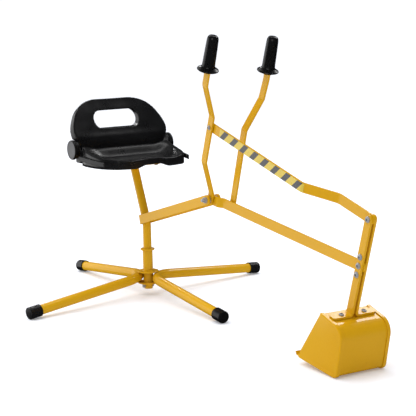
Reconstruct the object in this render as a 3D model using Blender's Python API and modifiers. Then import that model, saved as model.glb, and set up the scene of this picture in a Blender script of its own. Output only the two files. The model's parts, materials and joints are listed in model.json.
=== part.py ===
"""Ride-on sand digger: a four-legged swivel stand with a moulded seat, and an
arm of flat steel bars worked by two levers, ending in a pressed-steel scoop.

Frame: +X runs forward from the swivel axis to the scoop, +Y to the rider's
left, +Z up. Sizes are in millimetres from the point where the swivel axis meets
the floor. AXIS_AT then moves the whole object, so that the origin is the bottom
centre of its box. Every mesh is written in metres.
"""
import math

import bmesh
import bpy
from mathutils import Matrix, Vector

MM = 0.001

# ---------------------------------------------------------------- sizes
GAP = 0.3                       # between pieces that touch or are welded
AXIS_AT = (-280.14, -1.15, -0.28) # the swivel axis on the floor, from the origin

LEG_OD, LEG_WALL = 25.4, 1.5
LEG_REACH = 380.2               # swivel axis to the outer end of a foot, in plan
LEG_RISE = 36.9                 # leg centre line at the axis, above its foot end
LEG_HALF_ANGLE = 48.59          # between a V tube's axis of symmetry and each leg
V_LEFT_TURN, V_RIGHT_TURN = 51.28, 48.32
LEG_BEND_R = 79.0
CAP_OD, CAP_WALL, CAP_LEN = 31.0, 2.6, 34.0
FOOT_Z = 15.5

SLEEVE_OD, SLEEVE_ID = 26.4, 22.6
SLEEVE_Z0, SLEEVE_Z1 = 31.0, 120.4
DISC_R, DISC_T = 28.0, 3.0
DISC_LOW_Z, DISC_TOP_Z = 31.6, 61.6

POST_OD, POST_WALL = 22.0, 1.5
POST_Z0 = 16.5
POST_BEND_Z, POST_LEAN = 196.5, 23.5
POST_BEND_R = 60.0
COLLAR_R, COLLAR_T, COLLAR_Z = 18.9, 4.0, 120.8
KEEPER_Z = 24.6

BAR_T = 5.0
BRACKET_H, BRACKET_RISE = 24.0, 15.77
BRACKET_IN = 12.4
P0 = (334.0, 298.8)             # arm pivot
P1 = (900.0, 233.2)             # boom to stick
P2 = (930.5, 334.0)             # control rod to stick
P3 = (398.0, 480.5)             # left lever to control rod
BOOM_H, BOOM_Y0, BOOM_Y = 24.0, 1.0, 9.5
BOOM_DROP = 1.4                 # bolt line above the middle of the boom
ROD_H, ROD_Y = 22.0, -35.2
LEVER_H = 20.0
LEFT_Y = (-5.5, -41.3, -41.3, -74.0)
LEFT_S = (18.0, 104.0, 221.0, 300.0)
RIGHT_LEAN = 16.9
RIGHT_FOOT = (396.6, 290.5)
RIGHT_Y = (18.3, 53.0, 57.5)
RIGHT_S = (193.0, 269.0, 316.0)
STICK_W, STICK_T = 19.0, 5.5
FOOT_NEAR, FOOT_FAR = -44.4, 68.4

BOLT8, HOLE8 = 3.9, 4.3
BOLT6, HOLE6 = 2.9, 3.3

BUCKET_Y0, BUCKET_Y1, SHEET = -54.0, 78.0, 2.0
TOP_SLOPE = 0.3026

HINGE = (-133.0, 386.0)
SEAT_PLATE_Z = 348.0

NAME = "toy_excavator"

# ---------------------------------------------------------------- scene
for old in list(bpy.data.objects):
    bpy.data.objects.remove(old, do_unlink=True)
for old in list(bpy.data.collections):
    bpy.data.collections.remove(old)
main = bpy.data.collections.new(NAME)
bpy.context.scene.collection.children.link(main)
cutters = bpy.data.collections.new("cutters")
cutters.hide_render = True
bpy.context.scene.collection.children.link(cutters)

LOOKS = {
    "yellow": ((0.72, 0.36, 0.005, 1), 0.0, 0.42),
    "plastic": ((0.013, 0.013, 0.014, 1), 0.0, 0.4),
    "grey": ((0.2, 0.2, 0.205, 1), 0.0, 0.45),
    "zinc": ((0.55, 0.56, 0.58, 1), 1.0, 0.35),
    "strip": ((0.85, 0.7, 0.16, 1), 0.0, 0.35),
}


def material(node, look):
    color, metallic, rough = LOOKS[look]
    m = bpy.data.materials.new(node)
    m.use_nodes = True
    shader = m.node_tree.nodes["Principled BSDF"]
    shader.inputs["Base Color"].default_value = color
    shader.inputs["Metallic"].default_value = metallic
    shader.inputs["Roughness"].default_value = rough
    m.diffuse_color = color
    return m


def frame_xz(point, degrees, y=0.0):
    """Local x along a direction in the XZ plane, local y along +Y."""
    a = math.radians(degrees)
    u, w = Vector((math.cos(a), 0, math.sin(a))), Vector((-math.sin(a), 0, math.cos(a)))
    m = Matrix.Identity(4)
    for row in range(3):
        m[row][0], m[row][1], m[row][2] = u[row], (0, 1, 0)[row], w[row]
    m.translation = Vector((point[0], y, point[1])) * MM
    return m


def axis_y(x, y, z):
    """Local z along +Y, for a piece turned about a cross bolt's axis."""
    m = Matrix(((1, 0, 0, 0), (0, 0, 1, 0), (0, -1, 0, 0), (0, 0, 0, 1)))
    m.translation = Vector((x, y, z)) * MM
    return m


def place(mesh, name, matrix=None, look=None, cutter=False):
    obj = bpy.data.objects.new(name, mesh)
    (cutters if cutter else main).objects.link(obj)
    if matrix is not None:
        obj.matrix_world = matrix
    if cutter:
        obj.hide_render = True
        obj.display_type = "WIRE"
    if look:
        mesh.materials.append(material(name, look))
    return obj


def mesh_of(bm, name):
    bmesh.ops.remove_doubles(bm, verts=bm.verts, dist=1e-6)
    bmesh.ops.recalc_face_normals(bm, faces=bm.faces)
    mesh = bpy.data.meshes.new(name)
    bm.to_mesh(mesh)
    bm.free()
    return mesh


def flat(outline, low, high, name, plane="xz"):
    """A closed outline filled and extruded. plane xz is extruded along y, plane xy along z."""
    curve = bpy.data.curves.new(name + "_outline", "CURVE")
    curve.dimensions = "2D"
    curve.fill_mode = "BOTH"
    curve.extrude = abs(high - low) / 2 * MM
    spline = curve.splines.new("POLY")
    spline.points.add(len(outline) - 1)
    for point, (a, b) in zip(spline.points, outline):
        point.co = (a * MM, b * MM, 0, 1)
    spline.use_cyclic_u = True
    helper = bpy.data.objects.new(name + "_outline", curve)
    cutters.objects.link(helper)
    bpy.context.view_layer.update()
    graph = bpy.context.evaluated_depsgraph_get()
    mesh = bpy.data.meshes.new_from_object(helper.evaluated_get(graph))
    bpy.data.objects.remove(helper, do_unlink=True)
    bm = bmesh.new()
    bm.from_mesh(mesh)
    middle = (low + high) / 2 * MM
    if plane == "xz":
        turn = Matrix.Rotation(math.radians(90), 4, "X")
        bmesh.ops.transform(bm, matrix=Matrix.Translation((0, middle, 0)) @ turn, verts=bm.verts)
    else:
        bmesh.ops.transform(bm, matrix=Matrix.Translation((0, 0, middle)), verts=bm.verts)
    bmesh.ops.remove_doubles(bm, verts=bm.verts, dist=1e-6)
    bmesh.ops.dissolve_limit(bm, angle_limit=0.0005, verts=bm.verts, edges=bm.edges)
    return mesh_of(bm, name)


def cylinder(r, low, high, segments, name):
    bm = bmesh.new()
    bmesh.ops.create_cone(bm, cap_ends=True, segments=segments, radius1=r * MM, radius2=r * MM,
                          depth=(high - low) * MM)
    bmesh.ops.translate(bm, verts=bm.verts, vec=(0, 0, (low + high) / 2 * MM))
    return mesh_of(bm, name)


def revolve(profile, steps, name, closed=False):
    """Profile of (radius, height) points in millimetres, from the top down the outer side."""
    mesh = bpy.data.meshes.new(name)
    n = len(profile)
    edges = [(i, i + 1) for i in range(n - 1)] + ([(n - 1, 0)] if closed else [])
    mesh.from_pydata([(r * MM, 0, z * MM) for r, z in profile], edges, [])
    helper = bpy.data.objects.new(name + "_profile", mesh)
    cutters.objects.link(helper)
    screw = helper.modifiers.new("screw", "SCREW")
    screw.axis = "Z"
    screw.steps = screw.render_steps = steps
    screw.use_merge_vertices = True
    screw.merge_threshold = 0.00005
    screw.use_smooth_shade = False
    bpy.context.view_layer.update()
    graph = bpy.context.evaluated_depsgraph_get()
    made = bpy.data.meshes.new_from_object(helper.evaluated_get(graph))
    bpy.data.objects.remove(helper, do_unlink=True)
    bm = bmesh.new()
    bm.from_mesh(made)
    return mesh_of(bm, name)


def fillet(points, radii, steps=4, closed=False):
    """Corner points rounded with arcs."""
    out = []
    n = len(points)
    for i, p in enumerate(points):
        r = radii[i] if isinstance(radii, (list, tuple)) else radii
        if r <= 0 or (not closed and i in (0, n - 1)):
            out.append(tuple(p))
            continue
        p = Vector(p)
        a, b = Vector(points[i - 1]), Vector(points[(i + 1) % n])
        da, db = (a - p).normalized(), (b - p).normalized()
        half = da.angle(db) / 2
        back = r / math.tan(half)
        centre = p + (da + db).normalized() * (r / math.sin(half))
        s, e = p + da * back - centre, p + db * back - centre
        sweep = math.atan2(s.x * e.y - s.y * e.x, s.dot(e))
        for k in range(steps + 1):
            t = sweep * k / steps
            out.append((centre.x + s.x * math.cos(t) - s.y * math.sin(t),
                        centre.y + s.x * math.sin(t) + s.y * math.cos(t)))
    return out


def offset_line(points, d):
    """An open line moved d to its left, with mitred corners."""
    out = []
    for i in range(len(points)):
        p = Vector(points[i])
        before = (p - Vector(points[i - 1])).normalized() if i else None
        after = (Vector(points[i + 1]) - p).normalized() if i < len(points) - 1 else None
        before, after = before or after, after or before
        na, nb = Vector((-before.y, before.x)), Vector((-after.y, after.x))
        miter = (na + nb).normalized()
        q = p + miter * (d / max(miter.dot(na), 0.2))
        out.append((q.x, q.y))
    return out


def ribbon(points, thick):
    return offset_line(points, thick / 2) + offset_line(points, -thick / 2)[::-1]


def slot_outline(x0, x1, r, steps=10):
    """A bar's side view: straight sides and two round ends centred at x0 and x1."""
    out = []
    for cx, a0 in ((x1, -90), (x0, 90)):
        for k in range(steps + 1):
            a = math.radians(a0 + 180 * k / steps)
            out.append((cx + r * math.cos(a), r * math.sin(a)))
    return out


def boolean(obj, other, operation="DIFFERENCE"):
    m = obj.modifiers.new(operation.lower(), "BOOLEAN")
    m.operation = operation
    m.solver = "EXACT"
    m.object = other
    return m


def drill(obj, points, r, low=-200, high=200, steps=20):
    """Round holes along +Y at (x, z) world points."""
    for x, z in points:
        boolean(obj, place(cylinder(r, low, high, steps, obj.name + "_drill"), obj.name + "_drill",
                           axis_y(x, 0, z), cutter=True))


def at_bar(matrix, s, w=0.0):
    p = matrix @ Vector((s * MM, 0, w * MM))
    return p.x / MM, p.z / MM


def bar(name, matrix, path, height, thick, side, look="yellow"):
    """A flat bar bent out of its plane: plan outline extruded, then trimmed to its side view."""
    obj = place(flat(ribbon(path, thick), -height / 2, height / 2, name, "xy"), name, matrix, look)
    trim = place(flat(side, -200, 200, name + "_trim"), name + "_trim", matrix, cutter=True)
    boolean(obj, trim, "INTERSECT")
    return obj


def sweep(path, r, steps, name):
    """An open round skin along a path of points, without caps."""
    bm = bmesh.new()
    ring = None
    up = Vector((0, 0, 1))
    for i, p in enumerate(path):
        p = Vector(p)
        ahead = (Vector(path[min(i + 1, len(path) - 1)]) - p)
        behind = (p - Vector(path[max(i - 1, 0)]))
        ahead = ahead.normalized() if ahead.length else behind.normalized()
        behind = behind.normalized() if behind.length else ahead
        t = (ahead + behind).normalized()
        if i == 0:
            side = t.cross(up if abs(t.z) < 0.9 else Vector((0, 1, 0))).normalized()
        else:
            side = (side - t * side.dot(t)).normalized()
        other = t.cross(side)
        stretch = 1 / max(t.dot(ahead), 0.5)
        turn = (ahead - behind)
        turn = turn.normalized() if turn.length > 1e-6 else None
        loop = []
        for k in range(steps):
            a = 2 * math.pi * k / steps
            v = side * math.cos(a) * r + other * math.sin(a) * r
            if turn is not None:
                v += turn * v.dot(turn) * (stretch - 1)
            loop.append(bm.verts.new((p + v) * MM))
        if ring:
            for k in range(steps):
                j = (k + 1) % steps
                bm.faces.new((ring[k], ring[j], loop[j], loop[k]))
        ring = loop
    bm.normal_update()
    bmesh.ops.recalc_face_normals(bm, faces=bm.faces)
    mesh = bpy.data.meshes.new(name)
    bm.to_mesh(mesh)
    bm.free()
    return mesh


def skin_to_tube(obj, wall):
    m = obj.modifiers.new("wall", "SOLIDIFY")
    m.thickness = wall * MM
    m.offset = -1
    m.use_rim = True
    m.use_even_offset = True


def round_edges(obj, width, segments=1, angle=40):
    m = obj.modifiers.new("edges", "BEVEL")
    m.width = width * MM
    m.segments = segments
    m.limit_method = "ANGLE"
    m.angle_limit = math.radians(angle)
    m.use_clamp_overlap = True
    return m


bodies = {}


def belongs(body, *objects):
    bodies.setdefault(body, []).extend(objects)


# ---------------------------------------------------------------- base: hub and legs
sleeve = place(revolve([(SLEEVE_OD / 2, SLEEVE_Z1), (SLEEVE_OD / 2, SLEEVE_Z0),
                        (SLEEVE_ID / 2, SLEEVE_Z0), (SLEEVE_ID / 2, SLEEVE_Z1)], 32, "hub_sleeve", True),
               "hub_sleeve", look="yellow")
belongs("base", sleeve)
for name, z in (("hub_disc_bottom", DISC_LOW_Z), ("hub_disc_top", DISC_TOP_Z)):
    r = SLEEVE_OD / 2 + GAP
    disc = place(revolve([(DISC_R - 0.6, z + DISC_T), (DISC_R, z + DISC_T - 0.6), (DISC_R, z + 0.6), (DISC_R - 0.6, z),
                          (r, z), (r, z + DISC_T)], 28, name, True), name, look="yellow")
    belongs("base", disc)


def leg_direction(turn, sign):
    a = math.radians(turn + sign)
    return Vector((math.cos(a), math.sin(a)))


def cap_profile():
    """A blind cup: closed at the outer end (z = 0), open towards the hub."""
    r, i = CAP_OD / 2, LEG_OD / 2 + GAP
    return [(0, 0), (r - 2.2, 0), (r - 0.65, -0.65), (r, -2.2), (r, -CAP_LEN + 0.8), (r - 0.8, -CAP_LEN),
            (i, -CAP_LEN), (i, -CAP_WALL - 1.4), (0, -CAP_WALL - 1.4)]


def v_tube(name, turn, flip):
    """Both legs of one bent tube, in a plane that falls away from the hub."""
    ends = []
    for sign in (-LEG_HALF_ANGLE, LEG_HALF_ANGLE):
        d = leg_direction(turn + flip, sign)
        ends.append(Vector((d.x * LEG_REACH, d.y * LEG_REACH, FOOT_Z)))
    vertex = Vector((0, 0, FOOT_Z + LEG_RISE))
    da, db = (ends[0] - vertex).normalized(), (ends[1] - vertex).normalized()
    half = da.angle(db) / 2
    centre = vertex + (da + db).normalized() * (LEG_BEND_R / math.sin(half))
    s = vertex + da * (LEG_BEND_R / math.tan(half)) - centre
    e = vertex + db * (LEG_BEND_R / math.tan(half)) - centre
    normal = s.cross(e).normalized()
    sweep_angle = s.angle(e)
    short = CAP_WALL + 1.4 + GAP
    path = [ends[0] - da * short]
    for k in range(11):
        path.append(centre + Matrix.Rotation(sweep_angle * k / 10, 3, normal) @ s)
    path.append(ends[1] - db * short)
    tube = place(sweep(path, LEG_OD / 2, 20, name), name, look="yellow")
    skin_to_tube(tube, LEG_WALL)
    return tube, [(ends[0], da), (ends[1], db)]


CAPS = {"leg_tube_right": ("foot_cap_front", "foot_cap_left"), "leg_tube_left": ("foot_cap_rear", "foot_cap_right")}
for name, turn, flip in (("leg_tube_right", V_RIGHT_TURN, 0), ("leg_tube_left", V_LEFT_TURN, 180)):
    tube, ends = v_tube(name, turn, flip)
    belongs("base", tube)
    for cap_name, (end, direction) in zip(CAPS[name], ends):
        m = direction.to_track_quat("Z", "X").to_matrix().to_4x4()
        m.translation = end * MM
        cap = place(revolve(cap_profile(), 24, cap_name), cap_name, m, "plastic")
        belongs("base", cap)

# ---------------------------------------------------------------- swivel: post, bracket
lean = math.radians(POST_LEAN)
tangent = POST_BEND_R * math.tan(lean / 2)
path = [(0, 0, POST_Z0)]
for k in range(9):
    a = lean * k / 8
    path.append((-POST_BEND_R * (1 - math.cos(a)), 0, POST_BEND_Z - tangent + POST_BEND_R * math.sin(a)))
length = (SEAT_PLATE_Z + 14 - POST_BEND_Z) / math.cos(lean)
path.append((-math.sin(lean) * length, 0, POST_BEND_Z + math.cos(lean) * length))
post = place(sweep(path, POST_OD / 2, 24, "post_tube"), "post_tube", look="yellow")
skin_to_tube(post, POST_WALL)
over = place(flat([(-300, SEAT_PLATE_Z - GAP), (200, SEAT_PLATE_Z - GAP), (200, 500), (-300, 500)], -100, 100, "post_top"),
             "post_top", cutter=True)
boolean(post, over)
drill(post, [(0, KEEPER_Z)], HOLE6, -40, 40, 16)
r = POST_OD / 2 + GAP
collar = place(revolve([(COLLAR_R - 1.2, COLLAR_Z + COLLAR_T), (COLLAR_R, COLLAR_Z + COLLAR_T - 1.2), (COLLAR_R, COLLAR_Z + 0.8),
                        (COLLAR_R - 0.8, COLLAR_Z), (r, COLLAR_Z), (r, COLLAR_Z + COLLAR_T)], 28, "post_collar", True),
               "post_collar", look="yellow")


def dome_bolt(name, matrix, shank_r, head_r, head_h, shank, look="zinc", tip=0.6):
    """Head above z = 0, shank below."""
    prof = [(0, head_h), (head_r * 0.5, head_h * 0.93), (head_r * 0.85, head_h * 0.62), (head_r, head_h * 0.22), (head_r, 0),
            (shank_r, 0), (shank_r, -shank + tip), (shank_r - tip, -shank), (0, -shank)]
    return place(revolve(prof, 14, name), name, matrix, look)


def nut(name, matrix, shank_r, across, low, high, look="zinc"):
    """Hexagon nut with a six-sided bore that clears its bolt."""
    r_in, r_out = (shank_r + 0.32) / math.cos(math.radians(30)), across / 2 / math.cos(math.radians(30))
    return place(revolve([(r_out, high), (r_out, low), (r_in, low), (r_in, high)], 6, name, True), name, matrix, look)


keeper = dome_bolt("keeper_bolt", axis_y(0, POST_OD / 2 + 0.5, KEEPER_Z), BOLT6, 5.6, 4.0, POST_OD + 6.5)
keeper_nut = nut("keeper_nut", axis_y(0, -POST_OD / 2 - 0.5, KEEPER_Z), BOLT6, 10.0, -4.8, 0)

bracket_m = frame_xz(P0, BRACKET_RISE)
wrap_at = (P0[0] + 4.0) / math.cos(math.radians(BRACKET_RISE))
half = BRACKET_IN + BAR_T / 2
plan = [(12.0, -half), (-wrap_at, -half)]
for k in range(1, 16):
    a = math.radians(-90 - 180 * k / 16)
    plan.append((-wrap_at + half * math.cos(a), half * math.sin(a)))
plan += [(-wrap_at, half), (12.0, half)]
side = [(0 + 12 * math.cos(math.radians(a)), 12 * math.sin(math.radians(a))) for a in range(-90, 91, 18)]
side += [(-wrap_at - 30, BRACKET_H / 2), (-wrap_at - 30, -BRACKET_H / 2)]
bracket = bar("arm_bracket", bracket_m, plan, BRACKET_H + 0.4, BAR_T, side)
drill(bracket, [P0], HOLE8)

pivot_bolt = dome_bolt("pivot_bolt", axis_y(P0[0], BRACKET_IN + BAR_T + GAP, P0[1]), BOLT8, 6.9, 3.0, 2 * (BRACKET_IN + BAR_T) + 13.5)
pivot_nut = nut("pivot_nut", axis_y(P0[0], -(BRACKET_IN + BAR_T) - GAP, P0[1]), BOLT8, 13.0, -6.6, 0)
spacer_r = BOLT8 + 0.32
spacers = []
for name, low, high in (("pivot_spacer_near", -BRACKET_IN + GAP, LEFT_Y[0] - BAR_T / 2 - GAP),
                        ("pivot_spacer_far", BOOM_Y0 + BAR_T / 2 + GAP, BRACKET_IN - GAP)):
    spacers.append(place(revolve([(8.0, high), (8.0, low), (spacer_r, low), (spacer_r, high)], 20, name, True), name,
                         axis_y(P0[0], 0, P0[1]), "zinc"))
belongs("swivel", post, collar, keeper, keeper_nut, bracket, pivot_bolt, pivot_nut, *spacers)

# ---------------------------------------------------------------- seat
plate = place(flat(fillet([(-104, -44), (10, -44), (10, 44), (-104, 44)], 8, 3, True), SEAT_PLATE_Z, SEAT_PLATE_Z + 3,
                   "seat_plate", "xy"), "seat_plate", look="yellow")
screws = []
for name, y in (("seat_screw_right", -36), ("seat_screw_left", 36)):
    hole = place(cylinder(HOLE6, SEAT_PLATE_Z - 10, SEAT_PLATE_Z + 10, 16, name + "_hole"), name + "_hole",
                 Matrix.Translation(Vector((-6, y, 0)) * MM), cutter=True)
    boolean(plate, hole)
    m = Matrix.Rotation(math.pi, 4, "X")
    m.translation = Vector((-6, y, SEAT_PLATE_Z - GAP)) * MM
    screws.append(dome_bolt(name, m, BOLT6, 6.0, 4.0, 11.0, "plastic"))


def grid_skin(name, nx, ny, point, facing):
    bm = bmesh.new()
    bmesh.ops.create_grid(bm, x_segments=nx, y_segments=ny, size=1.0)
    for v in bm.verts:
        v.co = Vector(point(v.co.x, v.co.y)) * MM
    bm.normal_update()
    if sum(f.normal.dot(Vector(facing)) for f in bm.faces) < 0:
        bmesh.ops.reverse_faces(bm, faces=bm.faces)
    mesh = bpy.data.meshes.new(name)
    bm.to_mesh(mesh)
    bm.free()
    return mesh


def lerp_table(table, t):
    for (a, va), (b, vb) in zip(table, table[1:]):
        if t <= b:
            f = (t - a) / (b - a)
            return va + (vb - va) * max(f, 0.0)
    return table[-1][1]


def smooth(t):
    t = min(max(t, 0.0), 1.0)
    return t * t * (3 - 2 * t)


def squircle(u, v, k):
    """A square turned into a rounded square, so that grid corners become round."""
    return u * math.sqrt(1 - k * v * v), v * math.sqrt(1 - k * u * u)


PAN_X0, PAN_X1 = -112.0, 49.0
PAN_HALF = ((-1.0, 135.0), (-0.62, 136.0), (-0.2, 132.5), (0.34, 126.0), (0.8, 122.0), (1.0, 118.0))
PAN_RIM = ((-1.0, 388.0), (-0.7, 386.0), (-0.2, 377.5), (0.3, 371.5), (1.0, 369.5))
PAN_FLOOR, PAN_T = 364.0, 3.2
RINGS = 11


def pan_point(u, v):
    """u runs to the front, v to the rider's left. The outermost ring is the skirt's lower edge."""
    ring = max(abs(u), abs(v))
    inner = (RINGS - 2) / RINGS
    if ring > inner + 1e-6:
        t = (ring - inner) * RINGS / 2
        scale = (0.962 + 0.06 * t if t < 0.51 else 0.992 + 0.008 * (2 * t - 1)) / ring
    else:
        t, scale = 0.0, 0.962 / inner
    a, b = squircle(u * scale, v * scale, 0.48 if u > 0 else 0.08)
    x = (PAN_X0 + PAN_X1) / 2 + a * (PAN_X1 - PAN_X0) / 2
    half = lerp_table(PAN_HALF, a)
    lobe = 1 - smooth(abs(abs(b) - 0.52) / 0.36)
    middle = 1 - smooth(abs(b) / 0.3)
    rim = lerp_table(PAN_RIM, a) + smooth((a - 0.55) / 0.4) * (2.0 * middle - 3.5 * lobe)
    rim += 8.0 * smooth((-a - 0.62) / 0.38) * smooth((abs(b) - 0.6) / 0.35)
    reach = (u ** 6 + v ** 6) ** (1 / 6) / inner
    wall = smooth((min(reach, 1.0) - 0.62) / 0.38)
    dish = PAN_FLOOR + smooth((a - 0.35) / 0.6) * (5.5 * middle - 1.5 * lobe)
    z = dish + (rim - dish) * wall
    if t > 0.51:
        arch = smooth((a - 0.7) / 0.2) * (1 - smooth((abs(b) - 0.14) / 0.3))
        z = 345.5 + 9.5 * arch
    elif t > 0:
        z = rim - 1.6
    return x, b * half, z


pan = place(grid_skin("seat_pan", 2 * RINGS, 2 * RINGS, pan_point, (0, 0, 1)), "seat_pan", look="plastic")
m = pan.modifiers.new("wall", "SOLIDIFY")
m.thickness, m.offset, m.use_even_offset = PAN_T * MM, -1, False

block = place(flat(fillet([(-96, -48), (6, -48), (6, 48), (-96, 48)], 8, 3, True), SEAT_PLATE_Z + 3 + GAP, PAN_FLOOR - PAN_T - GAP,
                   "seat_block", "xy"), "seat_block", look="plastic")
for screw in (-36, 36):
    boolean(block, place(cylinder(HOLE6, SEAT_PLATE_Z, SEAT_PLATE_Z + 12, 16, "seat_block_hole"), "seat_block_hole",
                         Matrix.Translation(Vector((-6, screw, 0)) * MM), cutter=True))

crossbar = place(flat(fillet([(-152, -130), (-113.5, -130), (-113.5, 130), (-152, 130)], 9, 4, True), 350, 362, "seat_crossbar", "xy"),
                 "seat_crossbar", look="plastic")
round_edges(crossbar, 2.0, 1)
rails, discs = [], []
for name, s in (("right", -1), ("left", 1)):
    outline = [(-106, s * 136.6), (-106, s * 141.8), (-50, s * 138.4), (-8, s * 131.8), (12, s * 127.6), (12, s * 124.0), (-8, s * 127.8),
               (-50, s * 134.2)]
    if s > 0:
        outline = outline[::-1]
    mesh = flat(outline, 359.5, 371.8, "seat_rail_" + name, "xy")
    for v in mesh.vertices:
        v.co.z -= (v.co.x + 0.104) * 0.057
    rail = place(mesh, "seat_rail_" + name, look="grey")
    rails.append(rail)
    m = axis_y(HINGE[0], s * 140.4, HINGE[1])
    if s < 0:
        m = m @ Matrix.Rotation(math.pi, 4, "X")
    disc = place(revolve([(0, 9.4), (23.4, 9.4), (25.4, 8.2), (26.0, 6.0), (26.0, 2.0), (24.0, -0.5), (24.0, -6.5), (0, -6.5)], 32, "seat_disc_" + name),
                 "seat_disc_" + name, m, "grey")
    discs.append(disc)
belongs("swivel", plate, *screws, block, pan, crossbar, *rails, *discs)

BACK_HALF = ((376, 113.0), (391, 124.0), (401, 128.0), (412, 130.6), (417, 133.5), (424, 138.0), (432, 139.5), (451, 134.0), (475, 121.5), (493, 108.0),
             (506, 92.5), (515, 76.0), (519.5, 58.0))
BACK_Z0, BACK_Z1, BACK_T = 376.5, 519.5, 19.0


def back_point(u, v):
    """v runs up, u across. The surface is dished, with its sides brought forward."""
    z = BACK_Z0 + (BACK_Z1 - BACK_Z0) * (1 - (1 - (v + 1) / 2) ** 1.25)
    y = u * lerp_table(BACK_HALF, z)
    dish = 1 - min(abs(y) / 138.0, 1.0) ** 2.4
    x = -123.4 - max(z - 417, 0.0) * 0.53 - 11.0 * dish * smooth((z - 394) / 40)
    return x, -y, z - 8.0 * dish * smooth((z - 474) / 46)


back = place(grid_skin("seat_back", 16, 14, back_point, (1, 0, 0)), "seat_back", look="plastic")
m = back.modifiers.new("wall", "SOLIDIFY")
m.thickness, m.offset, m.use_even_offset = BACK_T * MM, -1, False
window = place(flat(fillet([(434, -69), (483, -69), (483, 69), (434, 69)], 18, 5, True), -90, 90, "seat_window", "xy"), "seat_window",
               Matrix.Translation((-0.165, 0, 0)) @ Matrix(((0, 0, 1, 0), (0, 1, 0, 0), (1, 0, 0, 0), (0, 0, 0, 1))), cutter=True)
boolean(back, window)
belongs("seat_back", back)

# ---------------------------------------------------------------- boom and right lever
boom_len = math.dist(P0, P1)
boom_angle = math.degrees(math.atan2(P1[1] - P0[1], P1[0] - P0[0]))
boom_m = frame_xz(P0, boom_angle)
plan = fillet([(-14, BOOM_Y0), (25, BOOM_Y0), (37, BOOM_Y), (boom_len + 14, BOOM_Y)], 7, 4)
outline = [(x, w - BOOM_DROP) for x, w in slot_outline(0, boom_len, BOOM_H / 2)]
boom = bar("boom_bar", boom_m, plan, BOOM_H + 4, BAR_T, outline)
drill(boom, [P0, P1], HOLE8)

right_m = frame_xz(RIGHT_FOOT, 90 - RIGHT_LEAN)
plan = fillet([(-12, RIGHT_Y[0]), (RIGHT_S[0], RIGHT_Y[0]), (RIGHT_S[1], RIGHT_Y[1]), (RIGHT_S[2], RIGHT_Y[2]), (402, RIGHT_Y[2])], 16, 4)
right_lever = bar("right_lever", right_m, plan, LEVER_H + 0.4, BAR_T, slot_outline(0, 388, LEVER_H / 2))

GRIP = [(0, 90.0), (5.8, 89.7), (10.0, 87.8), (12.8, 84.2), (13.7, 79.5), (15.0, 24.0), (15.4, 17.5), (24.0, 15.2), (25.4, 13.4),
        (25.4, 12.2), (24.0, 11.2), (17.0, 10.2), (16.2, 8.0), (15.6, 0.8), (14.8, 0), (0, 0)]


def grip(name, bar_matrix, s, y):
    """A moulded handle with a flange, slotted for the lever's end."""
    m = bar_matrix @ Matrix.Translation(Vector((s, y, 0)) * MM) @ Matrix(((0, 0, 1, 0), (1, 0, 0, 0), (0, 1, 0, 0), (0, 0, 0, 1)))
    obj = place(revolve(GRIP, 28, name), name, m, "plastic")
    w, h = LEVER_H / 2 + 0.5, BAR_T / 2 + 0.6
    socket = place(flat([(-h, -w), (h, -w), (h, w), (-h, w)], -20, 72, name + "_socket", "xy"), name + "_socket", m, cutter=True)
    boolean(obj, socket)
    return obj


right_grip = grip("right_grip", right_m, 328.0, RIGHT_Y[2])
belongs("boom", boom, right_lever, right_grip)

# ---------------------------------------------------------------- left lever
left_angle = math.degrees(math.atan2(P3[1] - P0[1], P3[0] - P0[0]))
left_m = frame_xz(P0, left_angle)
lever_len = math.dist(P0, P3)
plan = fillet([(-12, LEFT_Y[0]), (LEFT_S[0], LEFT_Y[0]), (LEFT_S[1], LEFT_Y[1]), (LEFT_S[2], LEFT_Y[2]), (LEFT_S[3], LEFT_Y[3]),
               (396, LEFT_Y[3])], 16, 4)
left_lever = bar("left_lever", left_m, plan, LEVER_H + 0.4, BAR_T, slot_outline(0, 382, LEVER_H / 2))
drill(left_lever, [P0], HOLE8)
drill(left_lever, [P3], HOLE6)
left_grip = grip("left_grip", left_m, 331.5, LEFT_Y[3])
rod_face = ROD_Y + BAR_T / 2
turn_out = Matrix.Rotation(math.pi, 4, "X")
rod_bolt = dome_bolt("rod_bolt", axis_y(P3[0], LEFT_Y[2] - BAR_T / 2 - GAP, P3[1]) @ turn_out, BOLT6, 5.4, 3.4, 22.5)
rod_nut = nut("rod_nut", axis_y(P3[0], rod_face + GAP, P3[1]), BOLT6, 10.0, 0, 5.0)
belongs("left_lever", left_lever, left_grip, rod_bolt, rod_nut)

# ---------------------------------------------------------------- control rod
rod_len = math.dist(P3, P2)
rod_angle = math.degrees(math.atan2(P2[1] - P3[1], P2[0] - P3[0]))
rod_m = frame_xz(P3, rod_angle)
plan = fillet([(-14, ROD_Y), (370, ROD_Y), (443, BOOM_Y), (rod_len + 14, BOOM_Y)], 24, 4)
rod = bar("control_rod", rod_m, plan, ROD_H + 0.4, BAR_T, slot_outline(0, rod_len, ROD_H / 2))
drill(rod, [P3], HOLE6)
drill(rod, [P2], HOLE8)
face = ROD_Y - BAR_T / 2 - GAP - 0.2
plan = fillet([(30, face), (370.85, face), (378.4, face + 4.6)], 27.0, 4)
strip = bar("warning_strip", rod_m, plan, 21.0, 0.4, fillet([(38, -10.2), (376, -10.2), (376, 10.2), (38, 10.2)], 1.5, 2, True), "strip")
belongs("control_rod", rod, strip)

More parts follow.
